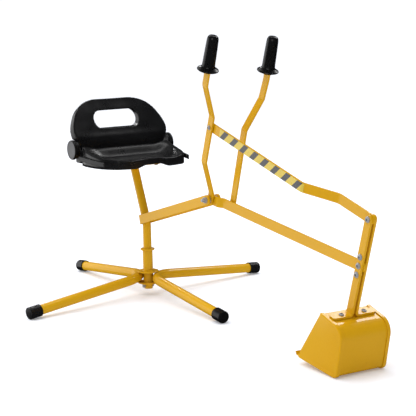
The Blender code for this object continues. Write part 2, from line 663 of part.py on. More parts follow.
# ---------------------------------------------------------------- stick
stick_angle = math.degrees(math.atan2(P2[1] - P1[1], P2[0] - P1[0]))
stick_m = frame_xz(P1, stick_angle)
stick_len = math.dist(P1, P2)
NEAR_Y, FAR_Y = BOOM_Y - BAR_T / 2 - GAP - STICK_T / 2, BOOM_Y + BAR_T / 2 + GAP + STICK_T / 2
FOOT_S = -114.6
stick_side = [(stick_len + (STICK_W / 2) * math.cos(math.radians(a)), (STICK_W / 2) * math.sin(math.radians(a))) for a in range(-90, 91, 18)]
stick_side += [(-160, STICK_W / 2), (-160, -STICK_W / 2)]
bars = []
for name, y, s in (("stick_bar_near", NEAR_Y, -1), ("stick_bar_far", FAR_Y, 1)):
    tip = FOOT_NEAR if s < 0 else FOOT_FAR
    plan = fillet([(stick_len + 14, y), (FOOT_S, y), (FOOT_S, tip + s * 3)], 6.5, 5)
    piece = bar(name, stick_m, plan, STICK_W + 0.4, STICK_T, stick_side)
    foot = [(tip - s * 7 + s * 7 * math.cos(math.radians(a)), (STICK_W / 2 - 7) * (1 if a > 0 else -1) + 7 * math.sin(math.radians(a)))
            for a in (-90, -67.5, -45, -22.5, 22.5, 45, 67.5, 90)]
    foot += [(BOOM_Y - s * 12, STICK_W / 2 + 0.0), (BOOM_Y - s * 12, -STICK_W / 2 - 0.0)]
    swap = Matrix(((0, 0, 1, 0), (1, 0, 0, 0), (0, 1, 0, 0), (0, 0, 0, 1)))
    foot_trim = place(flat(foot, -200, 200, name + "_foot_trim", "xy"), name + "_foot_trim", stick_m @ swap, cutter=True)
    boolean(piece, foot_trim, "INTERSECT")
    bars.append(piece)
UPPER, LOWER = 20.2, -20.6
stick_bolts = []
outer = STICK_T + GAP + BAR_T / 2
for name, s, r in (("stick_bolt_rod", stick_len, BOLT8), ("stick_bolt_upper", UPPER, BOLT6), ("stick_bolt_boom", 0.0, BOLT8),
                   ("stick_bolt_lower", LOWER, BOLT6)):
    x, z = at_bar(stick_m, s)
    for b in bars:
        drill(b, [(x, z)], r + 0.4)
    # the rod's own pivot is left open, so its bolt ends inside the near bar
    shank = STICK_T + GAP - 0.1 if s > UPPER else 2 * outer + GAP + 0.6
    stick_bolts.append(dome_bolt(name, axis_y(x, BOOM_Y - outer - GAP, z) @ turn_out, r, 6.9, 3.6, shank))
    if r == BOLT6:
        stick_bolts.append(place(revolve([(4.2, 2.4), (4.2, -2.4), (r + 0.32, -2.4), (r + 0.32, 2.4)], 16, name + "_spacer", True),
                                 name.replace("bolt", "spacer"), axis_y(x, BOOM_Y, z), "zinc"))

# ---------------------------------------------------------------- scoop
BOTTOM_SLOPE = -0.121
BACK_SLOPE = 0.2143


def bottom_z(x):
    return 18.9 + BOTTOM_SLOPE * (x - 752)


corner_x = (893.0 + BACK_SLOPE * (bottom_z(893.0))) / 1.0
corner = (corner_x - 0.5, bottom_z(corner_x))


def back_x(z):
    return 893.0 + BACK_SLOPE * z


TOP_Z = 120.3                   # scoop's top face above the stick's feet
TOP_EDGE = (841.0, TOP_Z - TOP_SLOPE * (841.0 - 866.0))
shoulder_z = (TOP_Z + TOP_SLOPE * (866.0 - 893.0)) / (1 + TOP_SLOPE * BACK_SLOPE)
shoulder = (back_x(shoulder_z), shoulder_z)
corner = (back_x(1.9), bottom_z(back_x(1.9)))
LIP = (748.5, 26.5)
profile = fillet([LIP, (752.0, bottom_z(752.0)), corner, shoulder, TOP_EDGE], [0, 3, 12, 30, 0], 6)
# the outline runs along the bottom to the back and up, so the outside is on its right
shell_outline = profile + offset_line(profile, SHEET)[::-1]
shell = place(flat(shell_outline, BUCKET_Y0 + SHEET + GAP, BUCKET_Y1 - SHEET - GAP, "bucket_shell"), "bucket_shell", look="yellow")

FLANGE = 9.0


def side_plate(name, y_out, direction):
    start = (762.0, bottom_z(762.0))
    run = fillet([start, corner, shoulder, TOP_EDGE], [0, 12, 30, 0], 6)
    rim = offset_line(run, -(GAP + SHEET))
    outline = rim + [(TOP_EDGE[0] - 0.2, TOP_EDGE[1] - 2.0), (770.5, 33.0)]
    low, high = sorted((y_out, y_out + direction * FLANGE))
    mesh = flat(outline, low, high, name)
    bm = bmesh.new()
    bm.from_mesh(mesh)
    weight = bm.edges.layers.float.new("bevel_weight_edge")
    rim_set = [Vector((x, z)) * MM for x, z in rim]

    def on_rim(v):
        return any((Vector((v.co.x, v.co.z)) - p).length < 1e-5 for p in rim_set)

    for e in bm.edges:
        if all(abs(v.co.y - y_out * MM) < 1e-6 and on_rim(v) for v in e.verts):
            e[weight] = 1.0
    bm.to_mesh(mesh)
    bm.free()
    obj = place(mesh, name, look="yellow")
    m = obj.modifiers.new("rolled_edge", "BEVEL")
    m.limit_method = "WEIGHT"
    m.width, m.segments = 2.8 * MM, 3
    inner = offset_line(fillet([(700.0, bottom_z(700.0)), corner, shoulder, (780.0, TOP_EDGE[1] + TOP_SLOPE * (TOP_EDGE[0] - 780.0))], [0, 12, 30, 0], 6), -GAP)
    low, high = sorted((y_out + direction * SHEET, y_out + direction * 30))
    cut = place(flat(inner, low, high, name + "_inside"), name + "_inside", cutter=True)
    boolean(obj, cut)
    return obj


side_near = side_plate("bucket_side_right", BUCKET_Y0, 1)
side_far = side_plate("bucket_side_left", BUCKET_Y1, -1)
foot_parts = []
for name, y in (("foot_bolt_right", -18.0), ("foot_bolt_left", 41.0)):
    m = stick_m @ Matrix.Translation(Vector((FOOT_S + STICK_T / 2 + GAP, y, 0)) * MM) @ Matrix(((0, 0, 1, 0), (1, 0, 0, 0), (0, 1, 0, 0), (0, 0, 0, 1)))
    drill_m = m.copy()
    cutter = place(cylinder(HOLE6, -40, 20, 16, name + "_hole"), name + "_hole", drill_m, cutter=True)
    for b in bars:
        if (y < BOOM_Y) == (b.name == "stick_bar_near"):
            boolean(b, cutter)
    boolean(shell, cutter)
    foot_parts.append(dome_bolt(name, m, BOLT6, 5.8, 3.2, 18.5))
    under = STICK_T + GAP * 3 + SHEET + 0.9
    foot_parts.append(nut(name.replace("bolt", "nut"), m, BOLT6, 10.0, -under - 5.0, -under))
belongs("stick", *bars, *stick_bolts, shell, side_near, side_far, *foot_parts)

# ---------------------------------------------------------------- joint axes
AXES = {
    "base": (0, 0, 0), "swivel": (0, 0, 0), "seat_back": (HINGE[0], 0, HINGE[1]), "boom": (P0[0], 0, P0[1]),
    "left_lever": (P0[0], 0, P0[1]), "control_rod": (P3[0], 0, P3[1]), "stick": (P1[0], 0, P1[1]),
}
root = bpy.data.objects.new("floor_origin", None)
main.objects.link(root)
for body, members in bodies.items():
    empty = bpy.data.objects.new("axis_" + body, None)
    main.objects.link(empty)
    empty.location = Vector(AXES[body]) * MM
    for obj in members:
        obj.parent = empty
        obj.matrix_parent_inverse = Matrix.Translation(-empty.location)
for obj in list(main.objects) + list(cutters.objects):
    if obj.parent is None and obj is not root:
        obj.parent = root
root.location = Vector(AXIS_AT) * MM
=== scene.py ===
"""Looks for the ride-on sand digger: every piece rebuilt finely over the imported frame."""
import json
import math

import bmesh
import bpy
from mathutils import Matrix, Vector

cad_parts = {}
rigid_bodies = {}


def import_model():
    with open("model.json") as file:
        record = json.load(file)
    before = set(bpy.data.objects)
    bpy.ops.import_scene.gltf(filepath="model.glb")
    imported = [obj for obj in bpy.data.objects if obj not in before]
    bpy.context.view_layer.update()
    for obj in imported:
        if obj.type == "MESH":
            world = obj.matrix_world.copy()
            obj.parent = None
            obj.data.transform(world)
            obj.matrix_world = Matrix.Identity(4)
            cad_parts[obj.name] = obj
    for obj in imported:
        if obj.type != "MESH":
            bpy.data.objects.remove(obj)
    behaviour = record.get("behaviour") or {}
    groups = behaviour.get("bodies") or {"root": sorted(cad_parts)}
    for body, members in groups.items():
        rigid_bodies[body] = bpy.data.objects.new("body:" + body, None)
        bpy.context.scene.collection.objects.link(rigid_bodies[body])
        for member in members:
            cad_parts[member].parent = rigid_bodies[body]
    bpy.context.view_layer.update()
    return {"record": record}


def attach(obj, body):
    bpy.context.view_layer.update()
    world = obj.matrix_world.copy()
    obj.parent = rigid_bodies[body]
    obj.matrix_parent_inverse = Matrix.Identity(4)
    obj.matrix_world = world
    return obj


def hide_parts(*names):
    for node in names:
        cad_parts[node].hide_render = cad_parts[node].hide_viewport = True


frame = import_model()

MM = 0.001

# ---------------------------------------------------------------- sizes
GAP = 0.3                       # between pieces that touch or are welded
AXIS_AT = (-280.14, -1.15, -0.28) # the swivel axis on the floor, from the origin

LEG_OD, LEG_WALL = 25.4, 1.5
LEG_REACH = 380.2               # swivel axis to the outer end of a foot, in plan
LEG_RISE = 36.9                 # leg centre line at the axis, above its foot end
LEG_HALF_ANGLE = 48.59          # between a V tube's axis of symmetry and each leg
V_LEFT_TURN, V_RIGHT_TURN = 51.28, 48.32
LEG_BEND_R = 79.0
CAP_OD, CAP_WALL, CAP_LEN = 31.0, 2.6, 34.0
FOOT_Z = 15.5

SLEEVE_OD, SLEEVE_ID = 26.4, 22.6
SLEEVE_Z0, SLEEVE_Z1 = 31.0, 120.4
DISC_R, DISC_T = 28.0, 3.0
DISC_LOW_Z, DISC_TOP_Z = 31.6, 61.6

POST_OD, POST_WALL = 22.0, 1.5
POST_Z0 = 16.5
POST_BEND_Z, POST_LEAN = 196.5, 23.5
POST_BEND_R = 60.0
COLLAR_R, COLLAR_T, COLLAR_Z = 18.9, 4.0, 120.8
KEEPER_Z = 24.6

BAR_T = 5.0
BRACKET_H, BRACKET_RISE = 24.0, 15.77
BRACKET_IN = 12.4
P0 = (334.0, 298.8)             # arm pivot
P1 = (900.0, 233.2)             # boom to stick
P2 = (930.5, 334.0)             # control rod to stick
P3 = (398.0, 480.5)             # left lever to control rod
BOOM_H, BOOM_Y0, BOOM_Y = 24.0, 1.0, 9.5
BOOM_DROP = 1.4                 # bolt line above the middle of the boom
ROD_H, ROD_Y = 22.0, -35.2
LEVER_H = 20.0
LEFT_Y = (-5.5, -41.3, -41.3, -74.0)
LEFT_S = (18.0, 104.0, 221.0, 300.0)
RIGHT_LEAN = 16.9
RIGHT_FOOT = (396.6, 290.5)
RIGHT_Y = (18.3, 53.0, 57.5)
RIGHT_S = (193.0, 269.0, 316.0)
STICK_W, STICK_T = 19.0, 5.5
FOOT_NEAR, FOOT_FAR = -44.4, 68.4

BOLT8, HOLE8 = 3.9, 4.3
BOLT6, HOLE6 = 2.9, 3.3

BUCKET_Y0, BUCKET_Y1, SHEET = -54.0, 78.0, 2.0
TOP_SLOPE = 0.3026

HINGE = (-133.0, 386.0)
SEAT_PLATE_Z = 348.0

NAME = "toy_excavator"

work = bpy.data.collections.new("work")
bpy.context.scene.collection.children.link(work)
PREFIX = "look_"
made = {}
bodies = {}

def frame_xz(point, degrees, y=0.0):
    """Local x along a direction in the XZ plane, local y along +Y."""
    a = math.radians(degrees)
    u, w = Vector((math.cos(a), 0, math.sin(a))), Vector((-math.sin(a), 0, math.cos(a)))
    m = Matrix.Identity(4)
    for row in range(3):
        m[row][0], m[row][1], m[row][2] = u[row], (0, 1, 0)[row], w[row]
    m.translation = Vector((point[0], y, point[1])) * MM
    return m


def axis_y(x, y, z):
    """Local z along +Y, for a piece turned about a cross bolt's axis."""
    m = Matrix(((1, 0, 0, 0), (0, 0, 1, 0), (0, -1, 0, 0), (0, 0, 0, 1)))
    m.translation = Vector((x, y, z)) * MM
    return m


def place(mesh, name, matrix=None, look=None, cutter=False):
    obj = bpy.data.objects.new(name if cutter else PREFIX + name, mesh)
    work.objects.link(obj)
    if matrix is not None:
        obj.matrix_world = matrix
    if cutter:
        obj.hide_render = True
    else:
        made[name] = obj
    return obj


def mesh_of(bm, name):
    bmesh.ops.remove_doubles(bm, verts=bm.verts, dist=1e-6)
    bmesh.ops.recalc_face_normals(bm, faces=bm.faces)
    mesh = bpy.data.meshes.new(name)
    bm.to_mesh(mesh)
    bm.free()
    return mesh


def flat(outline, low, high, name, plane="xz"):
    """A closed outline as one face, extruded. plane xz is extruded along y, plane xy along z."""
    bm = bmesh.new()
    lower, upper = [], []
    for a, b in outline:
        if plane == "xz":
            lower.append(bm.verts.new((a * MM, low * MM, b * MM)))
            upper.append(bm.verts.new((a * MM, high * MM, b * MM)))
        else:
            lower.append(bm.verts.new((a * MM, b * MM, low * MM)))
            upper.append(bm.verts.new((a * MM, b * MM, high * MM)))
    bm.faces.new(lower[::-1])
    bm.faces.new(upper)
    n = len(outline)
    for i in range(n):
        j = (i + 1) % n
        bm.faces.new((lower[i], lower[j], upper[j], upper[i]))
    bmesh.ops.remove_doubles(bm, verts=bm.verts, dist=1e-6)
    bmesh.ops.dissolve_degenerate(bm, dist=1e-7, edges=bm.edges)
    return mesh_of(bm, name)


def cylinder(r, low, high, segments, name):
    return revolve([(0, high), (r, high), (r, low), (0, low)], max(segments, 32), name)


def revolve(profile, steps, name, closed=False, wobble=None):
    """Profile of (radius, height) points turned about z. Points on the axis become poles."""
    bm = bmesh.new()
    rings = []
    for i, (r, z) in enumerate(profile):
        if r < 1e-6:
            rings.append([bm.verts.new((0, 0, z * MM))])
            continue
        ring = []
        for k in range(steps):
            a = 2 * math.pi * k / steps
            rr, zz = (r, z) if wobble is None else wobble(i, k, r, z)
            ring.append(bm.verts.new((rr * MM * math.cos(a), rr * MM * math.sin(a), zz * MM)))
        rings.append(ring)
    pairs = list(zip(rings, rings[1:])) + ([(rings[-1], rings[0])] if closed else [])
    for a, b in pairs:
        for k in range(steps):
            j = (k + 1) % steps
            if len(a) == 1 and len(b) == 1:
                continue
            if len(a) == 1:
                bm.faces.new((a[0], b[k], b[j]))
            elif len(b) == 1:
                bm.faces.new((a[k], b[0], a[j]))
            else:
                bm.faces.new((a[k], b[k], b[j], a[j]))
    return mesh_of(bm, name)


def fillet(points, radii, steps=10, closed=False):
    """Corner points rounded with arcs."""
    out = []
    n = len(points)
    for i, p in enumerate(points):
        r = radii[i] if isinstance(radii, (list, tuple)) else radii
        if r <= 0 or (not closed and i in (0, n - 1)):
            out.append(tuple(p))
            continue
        p = Vector(p)
        a, b = Vector(points[i - 1]), Vector(points[(i + 1) % n])
        da, db = (a - p).normalized(), (b - p).normalized()
        half = da.angle(db) / 2
        back = r / math.tan(half)
        centre = p + (da + db).normalized() * (r / math.sin(half))
        s, e = p + da * back - centre, p + db * back - centre
        sweep = math.atan2(s.x * e.y - s.y * e.x, s.dot(e))
        for k in range(steps + 1):
            t = sweep * k / steps
            out.append((centre.x + s.x * math.cos(t) - s.y * math.sin(t),
                        centre.y + s.x * math.sin(t) + s.y * math.cos(t)))
    return out


def offset_line(points, d):
    """An open line moved d to its left, with mitred corners."""
    out = []
    for i in range(len(points)):
        p = Vector(points[i])
        before = (p - Vector(points[i - 1])).normalized() if i else None
        after = (Vector(points[i + 1]) - p).normalized() if i < len(points) - 1 else None
        before, after = before or after, after or before
        na, nb = Vector((-before.y, before.x)), Vector((-after.y, after.x))
        miter = (na + nb).normalized()
        q = p + miter * (d / max(miter.dot(na), 0.2))
        out.append((q.x, q.y))
    return out


def ribbon(points, thick):
    return offset_line(points, thick / 2) + offset_line(points, -thick / 2)[::-1]


def slot_outline(x0, x1, r, steps=28):
    """A bar's side view: straight sides and two round ends centred at x0 and x1."""
    out = []
    for cx, a0 in ((x1, -90), (x0, 90)):
        for k in range(steps + 1):
            a = math.radians(a0 + 180 * k / steps)
            out.append((cx + r * math.cos(a), r * math.sin(a)))
    return out


def boolean(obj, other, operation="DIFFERENCE"):
    m = obj.modifiers.new(operation.lower(), "BOOLEAN")
    m.operation = operation
    m.solver = "EXACT"
    m.object = other
    return m


def drill(obj, points, r, low=-200, high=200, steps=40):
    """Round holes along +Y at (x, z) world points."""
    for x, z in points:
        boolean(obj, place(cylinder(r, low, high, steps, obj.name + "_drill"), obj.name + "_drill",
                           axis_y(x, 0, z), cutter=True))


def at_bar(matrix, s, w=0.0):
    p = matrix @ Vector((s * MM, 0, w * MM))
    return p.x / MM, p.z / MM


def bar(name, matrix, path, height, thick, side, look="yellow"):
    """A flat bar bent out of its plane: plan outline extruded, then trimmed to its side view."""
    obj = place(flat(ribbon(path, thick), -height / 2, height / 2, name, "xy"), name, matrix, look)
    trim = place(flat(side, -200, 200, name + "_trim"), name + "_trim", matrix, cutter=True)
    boolean(obj, trim, "INTERSECT")
    return obj


def sweep(path, r, steps, name):
    """An open round skin along a path of points, without caps."""
    bm = bmesh.new()
    ring = None
    up = Vector((0, 0, 1))
    for i, p in enumerate(path):
        p = Vector(p)
        ahead = (Vector(path[min(i + 1, len(path) - 1)]) - p)
        behind = (p - Vector(path[max(i - 1, 0)]))
        ahead = ahead.normalized() if ahead.length else behind.normalized()
        behind = behind.normalized() if behind.length else ahead
        t = (ahead + behind).normalized()
        if i == 0:
            side = t.cross(up if abs(t.z) < 0.9 else Vector((0, 1, 0))).normalized()
        else:
            side = (side - t * side.dot(t)).normalized()
        other = t.cross(side)
        stretch = 1 / max(t.dot(ahead), 0.5)
        turn = (ahead - behind)
        turn = turn.normalized() if turn.length > 1e-6 else None
        loop = []
        for k in range(steps):
            a = 2 * math.pi * k / steps
            v = side * math.cos(a) * r + other * math.sin(a) * r
            if turn is not None:
                v += turn * v.dot(turn) * (stretch - 1)
            loop.append(bm.verts.new((p + v) * MM))
        if ring:
            for k in range(steps):
                j = (k + 1) % steps
                bm.faces.new((ring[k], ring[j], loop[j], loop[k]))
        ring = loop
    bm.normal_update()
    bmesh.ops.recalc_face_normals(bm, faces=bm.faces)
    mesh = bpy.data.meshes.new(name)
    bm.to_mesh(mesh)
    bm.free()
    return mesh


def skin_to_tube(obj, wall):
    m = obj.modifiers.new("wall", "SOLIDIFY")
    m.thickness = wall * MM
    m.offset = -1
    m.use_rim = True
    m.use_even_offset = True


def round_edges(obj, width, segments=1, angle=40):
    m = obj.modifiers.new("edges", "BEVEL")
    m.width = width * MM
    m.segments = segments
    m.limit_method = "ANGLE"
    m.angle_limit = math.radians(angle)
    m.use_clamp_overlap = True
    return m


def belongs(body, *objects):
    bodies.setdefault(body, []).extend(objects)


# ---------------------------------------------------------------- base: hub and legs
sleeve = place(revolve([(SLEEVE_OD / 2, SLEEVE_Z1), (SLEEVE_OD / 2, SLEEVE_Z0),
                        (SLEEVE_ID / 2, SLEEVE_Z0), (SLEEVE_ID / 2, SLEEVE_Z1)], 72, "hub_sleeve", True),
               "hub_sleeve", look="yellow")
belongs("base", sleeve)
for name, z in (("hub_disc_bottom", DISC_LOW_Z), ("hub_disc_top", DISC_TOP_Z)):
    r = SLEEVE_OD / 2 + GAP
    disc = place(revolve([(DISC_R - 0.6, z + DISC_T), (DISC_R, z + DISC_T - 0.6), (DISC_R, z + 0.6), (DISC_R - 0.6, z),
                          (r, z), (r, z + DISC_T)], 80, name, True), name, look="yellow")
    belongs("base", disc)


def leg_direction(turn, sign):
    a = math.radians(turn + sign)
    return Vector((math.cos(a), math.sin(a)))


def cap_profile():
    """A blind cup: closed at the outer end (z = 0), open towards the hub."""
    r, i = CAP_OD / 2, LEG_OD / 2 + GAP
    return [(0, 0), (r - 2.2, 0), (r - 0.65, -0.65), (r, -2.2), (r, -CAP_LEN + 0.8), (r - 0.8, -CAP_LEN),
            (i, -CAP_LEN), (i, -CAP_WALL - 1.4), (0, -CAP_WALL - 1.4)]


def v_tube(name, turn, flip):
    """Both legs of one bent tube, in a plane that falls away from the hub."""
    ends = []
    for sign in (-LEG_HALF_ANGLE, LEG_HALF_ANGLE):
        d = leg_direction(turn + flip, sign)
        ends.append(Vector((d.x * LEG_REACH, d.y * LEG_REACH, FOOT_Z)))
    vertex = Vector((0, 0, FOOT_Z + LEG_RISE))
    da, db = (ends[0] - vertex).normalized(), (ends[1] - vertex).normalized()
    half = da.angle(db) / 2
    centre = vertex + (da + db).normalized() * (LEG_BEND_R / math.sin(half))
    s = vertex + da * (LEG_BEND_R / math.tan(half)) - centre
    e = vertex + db * (LEG_BEND_R / math.tan(half)) - centre
    normal = s.cross(e).normalized()
    sweep_angle = s.angle(e)
    short = CAP_WALL + 1.4 + GAP
    path = [ends[0] - da * short]
    for k in range(33):
        path.append(centre + Matrix.Rotation(sweep_angle * k / 32, 3, normal) @ s)
    path.append(ends[1] - db * short)
    tube = place(sweep(path, LEG_OD / 2, 64, name), name, look="yellow")
    skin_to_tube(tube, LEG_WALL)
    return tube, [(ends[0], da), (ends[1], db)]


CAPS = {"leg_tube_right": ("foot_cap_front", "foot_cap_left"), "leg_tube_left": ("foot_cap_rear", "foot_cap_right")}
for name, turn, flip in (("leg_tube_right", V_RIGHT_TURN, 0), ("leg_tube_left", V_LEFT_TURN, 180)):
    tube, ends = v_tube(name, turn, flip)
    belongs("base", tube)
    for cap_name, (end, direction) in zip(CAPS[name], ends):
        m = direction.to_track_quat("Z", "X").to_matrix().to_4x4()
        m.translation = end * MM
        cap = place(revolve(cap_profile(), 64, cap_name), cap_name, m, "plastic")
        belongs("base", cap)

# ---------------------------------------------------------------- swivel: post, bracket
lean = math.radians(POST_LEAN)
tangent = POST_BEND_R * math.tan(lean / 2)
path = [(0, 0, POST_Z0)]
for k in range(25):
    a = lean * k / 24
    path.append((-POST_BEND_R * (1 - math.cos(a)), 0, POST_BEND_Z - tangent + POST_BEND_R * math.sin(a)))
length = (SEAT_PLATE_Z + 14 - POST_BEND_Z) / math.cos(lean)
path.append((-math.sin(lean) * length, 0, POST_BEND_Z + math.cos(lean) * length))
post = place(sweep(path, POST_OD / 2, 64, "post_tube"), "post_tube", look="yellow")
skin_to_tube(post, POST_WALL)
over = place(flat([(-300, SEAT_PLATE_Z - GAP), (200, SEAT_PLATE_Z - GAP), (200, 500), (-300, 500)], -100, 100, "post_top"),
             "post_top", cutter=True)
boolean(post, over)
drill(post, [(0, KEEPER_Z)], HOLE6, -40, 40, 16)
r = POST_OD / 2 + GAP
collar = place(revolve([(COLLAR_R - 1.2, COLLAR_Z + COLLAR_T), (COLLAR_R, COLLAR_Z + COLLAR_T - 1.2), (COLLAR_R, COLLAR_Z + 0.8),
                        (COLLAR_R - 0.8, COLLAR_Z), (r, COLLAR_Z), (r, COLLAR_Z + COLLAR_T)], 80, "post_collar", True),
               "post_collar", look="yellow")


def dome_bolt(name, matrix, shank_r, head_r, head_h, shank, look="zinc", tip=0.6):
    """Head above z = 0, shank below."""
    prof = [(0, head_h)]
    for k in range(1, 13):
        t = k / 12
        prof.append((head_r * t, head_h * (0.22 + 0.78 * math.sqrt(max(0.0, 1 - t ** 2.4)))))
    prof += [(head_r, 0.25), (head_r - 0.25, 0), (shank_r, 0)]
    z = -shank + 9.0
    while z > -shank + tip + 0.7:
        prof += [(shank_r, z), (shank_r - 0.38, z - 0.35)]
        z -= 0.7
    prof += [(shank_r, -shank + tip), (shank_r - tip, -shank), (0, -shank)]
    obj = place(revolve(prof, 48, name), name, matrix, look)
    hexagon = [(head_r * 0.44 * math.cos(math.radians(a)), head_r * 0.44 * math.sin(math.radians(a))) for a in range(15, 360, 60)]
    boolean(obj, place(flat(hexagon, head_h * 0.12, head_h + 2, name + "_socket", "xy"), name + "_socket", matrix, cutter=True))
    round_edges(obj, 0.18, 2, 30)
    return obj


def nut(name, matrix, shank_r, across, low, high, look="zinc"):
    """Hexagon nut with a six-sided bore that clears its bolt."""
    r_in, r_out = (shank_r + 0.32) / math.cos(math.radians(30)), across / 2 / math.cos(math.radians(30))
    obj = place(revolve([(r_out, high), (r_out, low), (r_in, low), (r_in, high)], 6, name, True), name, matrix, look)
    face, turn = across / 2 * 0.97, 1.1
    lens = revolve([(0, high + 0.02), (face, high + 0.02), (r_out + 0.05, high - turn), (r_out + 0.05, low + turn), (face, low - 0.02),
                    (0, low - 0.02)], 72, name + "_lens")
    boolean(obj, place(lens, name + "_lens", matrix, cutter=True), "INTERSECT")
    round_edges(obj, 0.15, 2, 25)
    return obj


keeper = dome_bolt("keeper_bolt", axis_y(0, POST_OD / 2 + 0.5, KEEPER_Z), BOLT6, 5.6, 4.0, POST_OD + 6.5)
keeper_nut = nut("keeper_nut", axis_y(0, -POST_OD / 2 - 0.5, KEEPER_Z), BOLT6, 10.0, -4.8, 0)

bracket_m = frame_xz(P0, BRACKET_RISE)
wrap_at = (P0[0] + 4.0) / math.cos(math.radians(BRACKET_RISE))
half = BRACKET_IN + BAR_T / 2
plan = [(12.0, -half), (-wrap_at, -half)]
for k in range(1, 40):
    a = math.radians(-90 - 180 * k / 40)
    plan.append((-wrap_at + half * math.cos(a), half * math.sin(a)))
plan += [(-wrap_at, half), (12.0, half)]
side = [(0 + 12 * math.cos(math.radians(a)), 12 * math.sin(math.radians(a))) for a in range(-90, 91, 6)]
side += [(-wrap_at - 30, BRACKET_H / 2), (-wrap_at - 30, -BRACKET_H / 2)]
bracket = bar("arm_bracket", bracket_m, plan, BRACKET_H + 0.4, BAR_T, side)
drill(bracket, [P0], HOLE8)

pivot_bolt = dome_bolt("pivot_bolt", axis_y(P0[0], BRACKET_IN + BAR_T + GAP, P0[1]), BOLT8, 6.9, 3.0, 2 * (BRACKET_IN + BAR_T) + 13.5)
pivot_nut = nut("pivot_nut", axis_y(P0[0], -(BRACKET_IN + BAR_T) - GAP, P0[1]), BOLT8, 13.0, -6.6, 0)
spacer_r = BOLT8 + 0.32
spacers = []
for name, low, high in (("pivot_spacer_near", -BRACKET_IN + GAP, LEFT_Y[0] - BAR_T / 2 - GAP),
                        ("pivot_spacer_far", BOOM_Y0 + BAR_T / 2 + GAP, BRACKET_IN - GAP)):
    spacers.append(place(revolve([(8.0, high), (8.0, low), (spacer_r, low), (spacer_r, high)], 20, name, True), name,
                         axis_y(P0[0], 0, P0[1]), "zinc"))
belongs("swivel", post, collar, keeper, keeper_nut, bracket, pivot_bolt, pivot_nut, *spacers)

# ---------------------------------------------------------------- seat
plate = place(flat(fillet([(-104, -44), (10, -44), (10, 44), (-104, 44)], 8, 10, True), SEAT_PLATE_Z, SEAT_PLATE_Z + 3,
                   "seat_plate", "xy"), "seat_plate", look="yellow")
screws = []
for name, y in (("seat_screw_right", -36), ("seat_screw_left", 36)):
    hole = place(cylinder(HOLE6, SEAT_PLATE_Z - 10, SEAT_PLATE_Z + 10, 16, name + "_hole"), name + "_hole",
                 Matrix.Translation(Vector((-6, y, 0)) * MM), cutter=True)
    boolean(plate, hole)
    m = Matrix.Rotation(math.pi, 4, "X")
    m.translation = Vector((-6, y, SEAT_PLATE_Z - GAP)) * MM
    screws.append(dome_bolt(name, m, BOLT6, 6.0, 4.0, 11.0, "plastic"))


def grid_skin(name, nx, ny, point, facing):
    bm = bmesh.new()
    bmesh.ops.create_grid(bm, x_segments=nx, y_segments=ny, size=1.0)
    for v in bm.verts:
        v.co = Vector(point(v.co.x, v.co.y)) * MM
    bm.normal_update()
    if sum(f.normal.dot(Vector(facing)) for f in bm.faces) < 0:
        bmesh.ops.reverse_faces(bm, faces=bm.faces)
    mesh = bpy.data.meshes.new(name)
    bm.to_mesh(mesh)
    bm.free()
    return mesh


def lerp_table(table, t):
    for (a, va), (b, vb) in zip(table, table[1:]):
        if t <= b:
            f = (t - a) / (b - a)
            return va + (vb - va) * max(f, 0.0)
    return table[-1][1]


def smooth(t):
    t = min(max(t, 0.0), 1.0)
    return t * t * (3 - 2 * t)


def squircle(u, v, k):
    """A square turned into a rounded square, so that grid corners become round."""
    return u * math.sqrt(1 - k * v * v), v * math.sqrt(1 - k * u * u)


PAN_X0, PAN_X1 = -112.0, 49.0
PAN_HALF = ((-1.0, 135.0), (-0.62, 136.0), (-0.2, 132.5), (0.34, 126.0), (0.8, 122.0), (1.0, 118.0))
PAN_RIM = ((-1.0, 388.0), (-0.7, 386.0), (-0.2, 377.5), (0.3, 371.5), (1.0, 369.5))
PAN_FLOOR, PAN_T = 364.0, 3.2
RINGS = 11


def pan_point(u, v):
    """u runs to the front, v to the rider's left: the dish, then a rolled rim, then a skirt that hangs from it."""
    ring = max(abs(u), abs(v))
    inner, rolled = 0.86, 0.93
    if ring > inner:
        t = min((ring - inner) / (rolled - inner), 1.0)
        drop = max(ring - rolled, 0.0) / (1 - rolled)
        scale = (0.962 + 0.032 * math.sin(t * math.pi / 2) + 0.006 * drop) / ring
    else:
        t, drop, scale = 0.0, 0.0, 0.962 / inner
    a, b = squircle(u * scale, v * scale, 0.40 if u > 0 else 0.08)
    x = (PAN_X0 + PAN_X1) / 2 + a * (PAN_X1 - PAN_X0) / 2
    half = lerp_table(PAN_HALF, a)
    lobe = 1 - smooth(abs(abs(b) - 0.52) / 0.36)
    middle = 1 - smooth(abs(b) / 0.3)
    rim = lerp_table(PAN_RIM, a) + smooth((a - 0.55) / 0.4) * (2.0 * middle - 3.5 * lobe)
    rim += 8.0 * smooth((-a - 0.62) / 0.38) * smooth((abs(b) - 0.6) / 0.35)
    reach = (u ** 6 + v ** 6) ** (1 / 6) / inner
    wall = smooth((min(reach, 1.0) - 0.62) / 0.38)
    dish = PAN_FLOOR + smooth((a - 0.35) / 0.6) * (5.5 * middle - 1.5 * lobe)
    z = dish + (rim - dish) * wall - 2.6 * (1 - math.cos(t * math.pi / 2))
    if drop > 0:
        arch = smooth((a - 0.7) / 0.2) * (1 - smooth((abs(b) - 0.14) / 0.3))
        z += (345.5 + 9.5 * arch - z) * drop
    return x, b * half, z


pan = place(grid_skin("seat_pan", 100, 100, pan_point, (0, 0, 1)), "seat_pan", look="plastic")
m = pan.modifiers.new("wall", "SOLIDIFY")
m.thickness, m.offset, m.use_even_offset = PAN_T * MM, -1, False

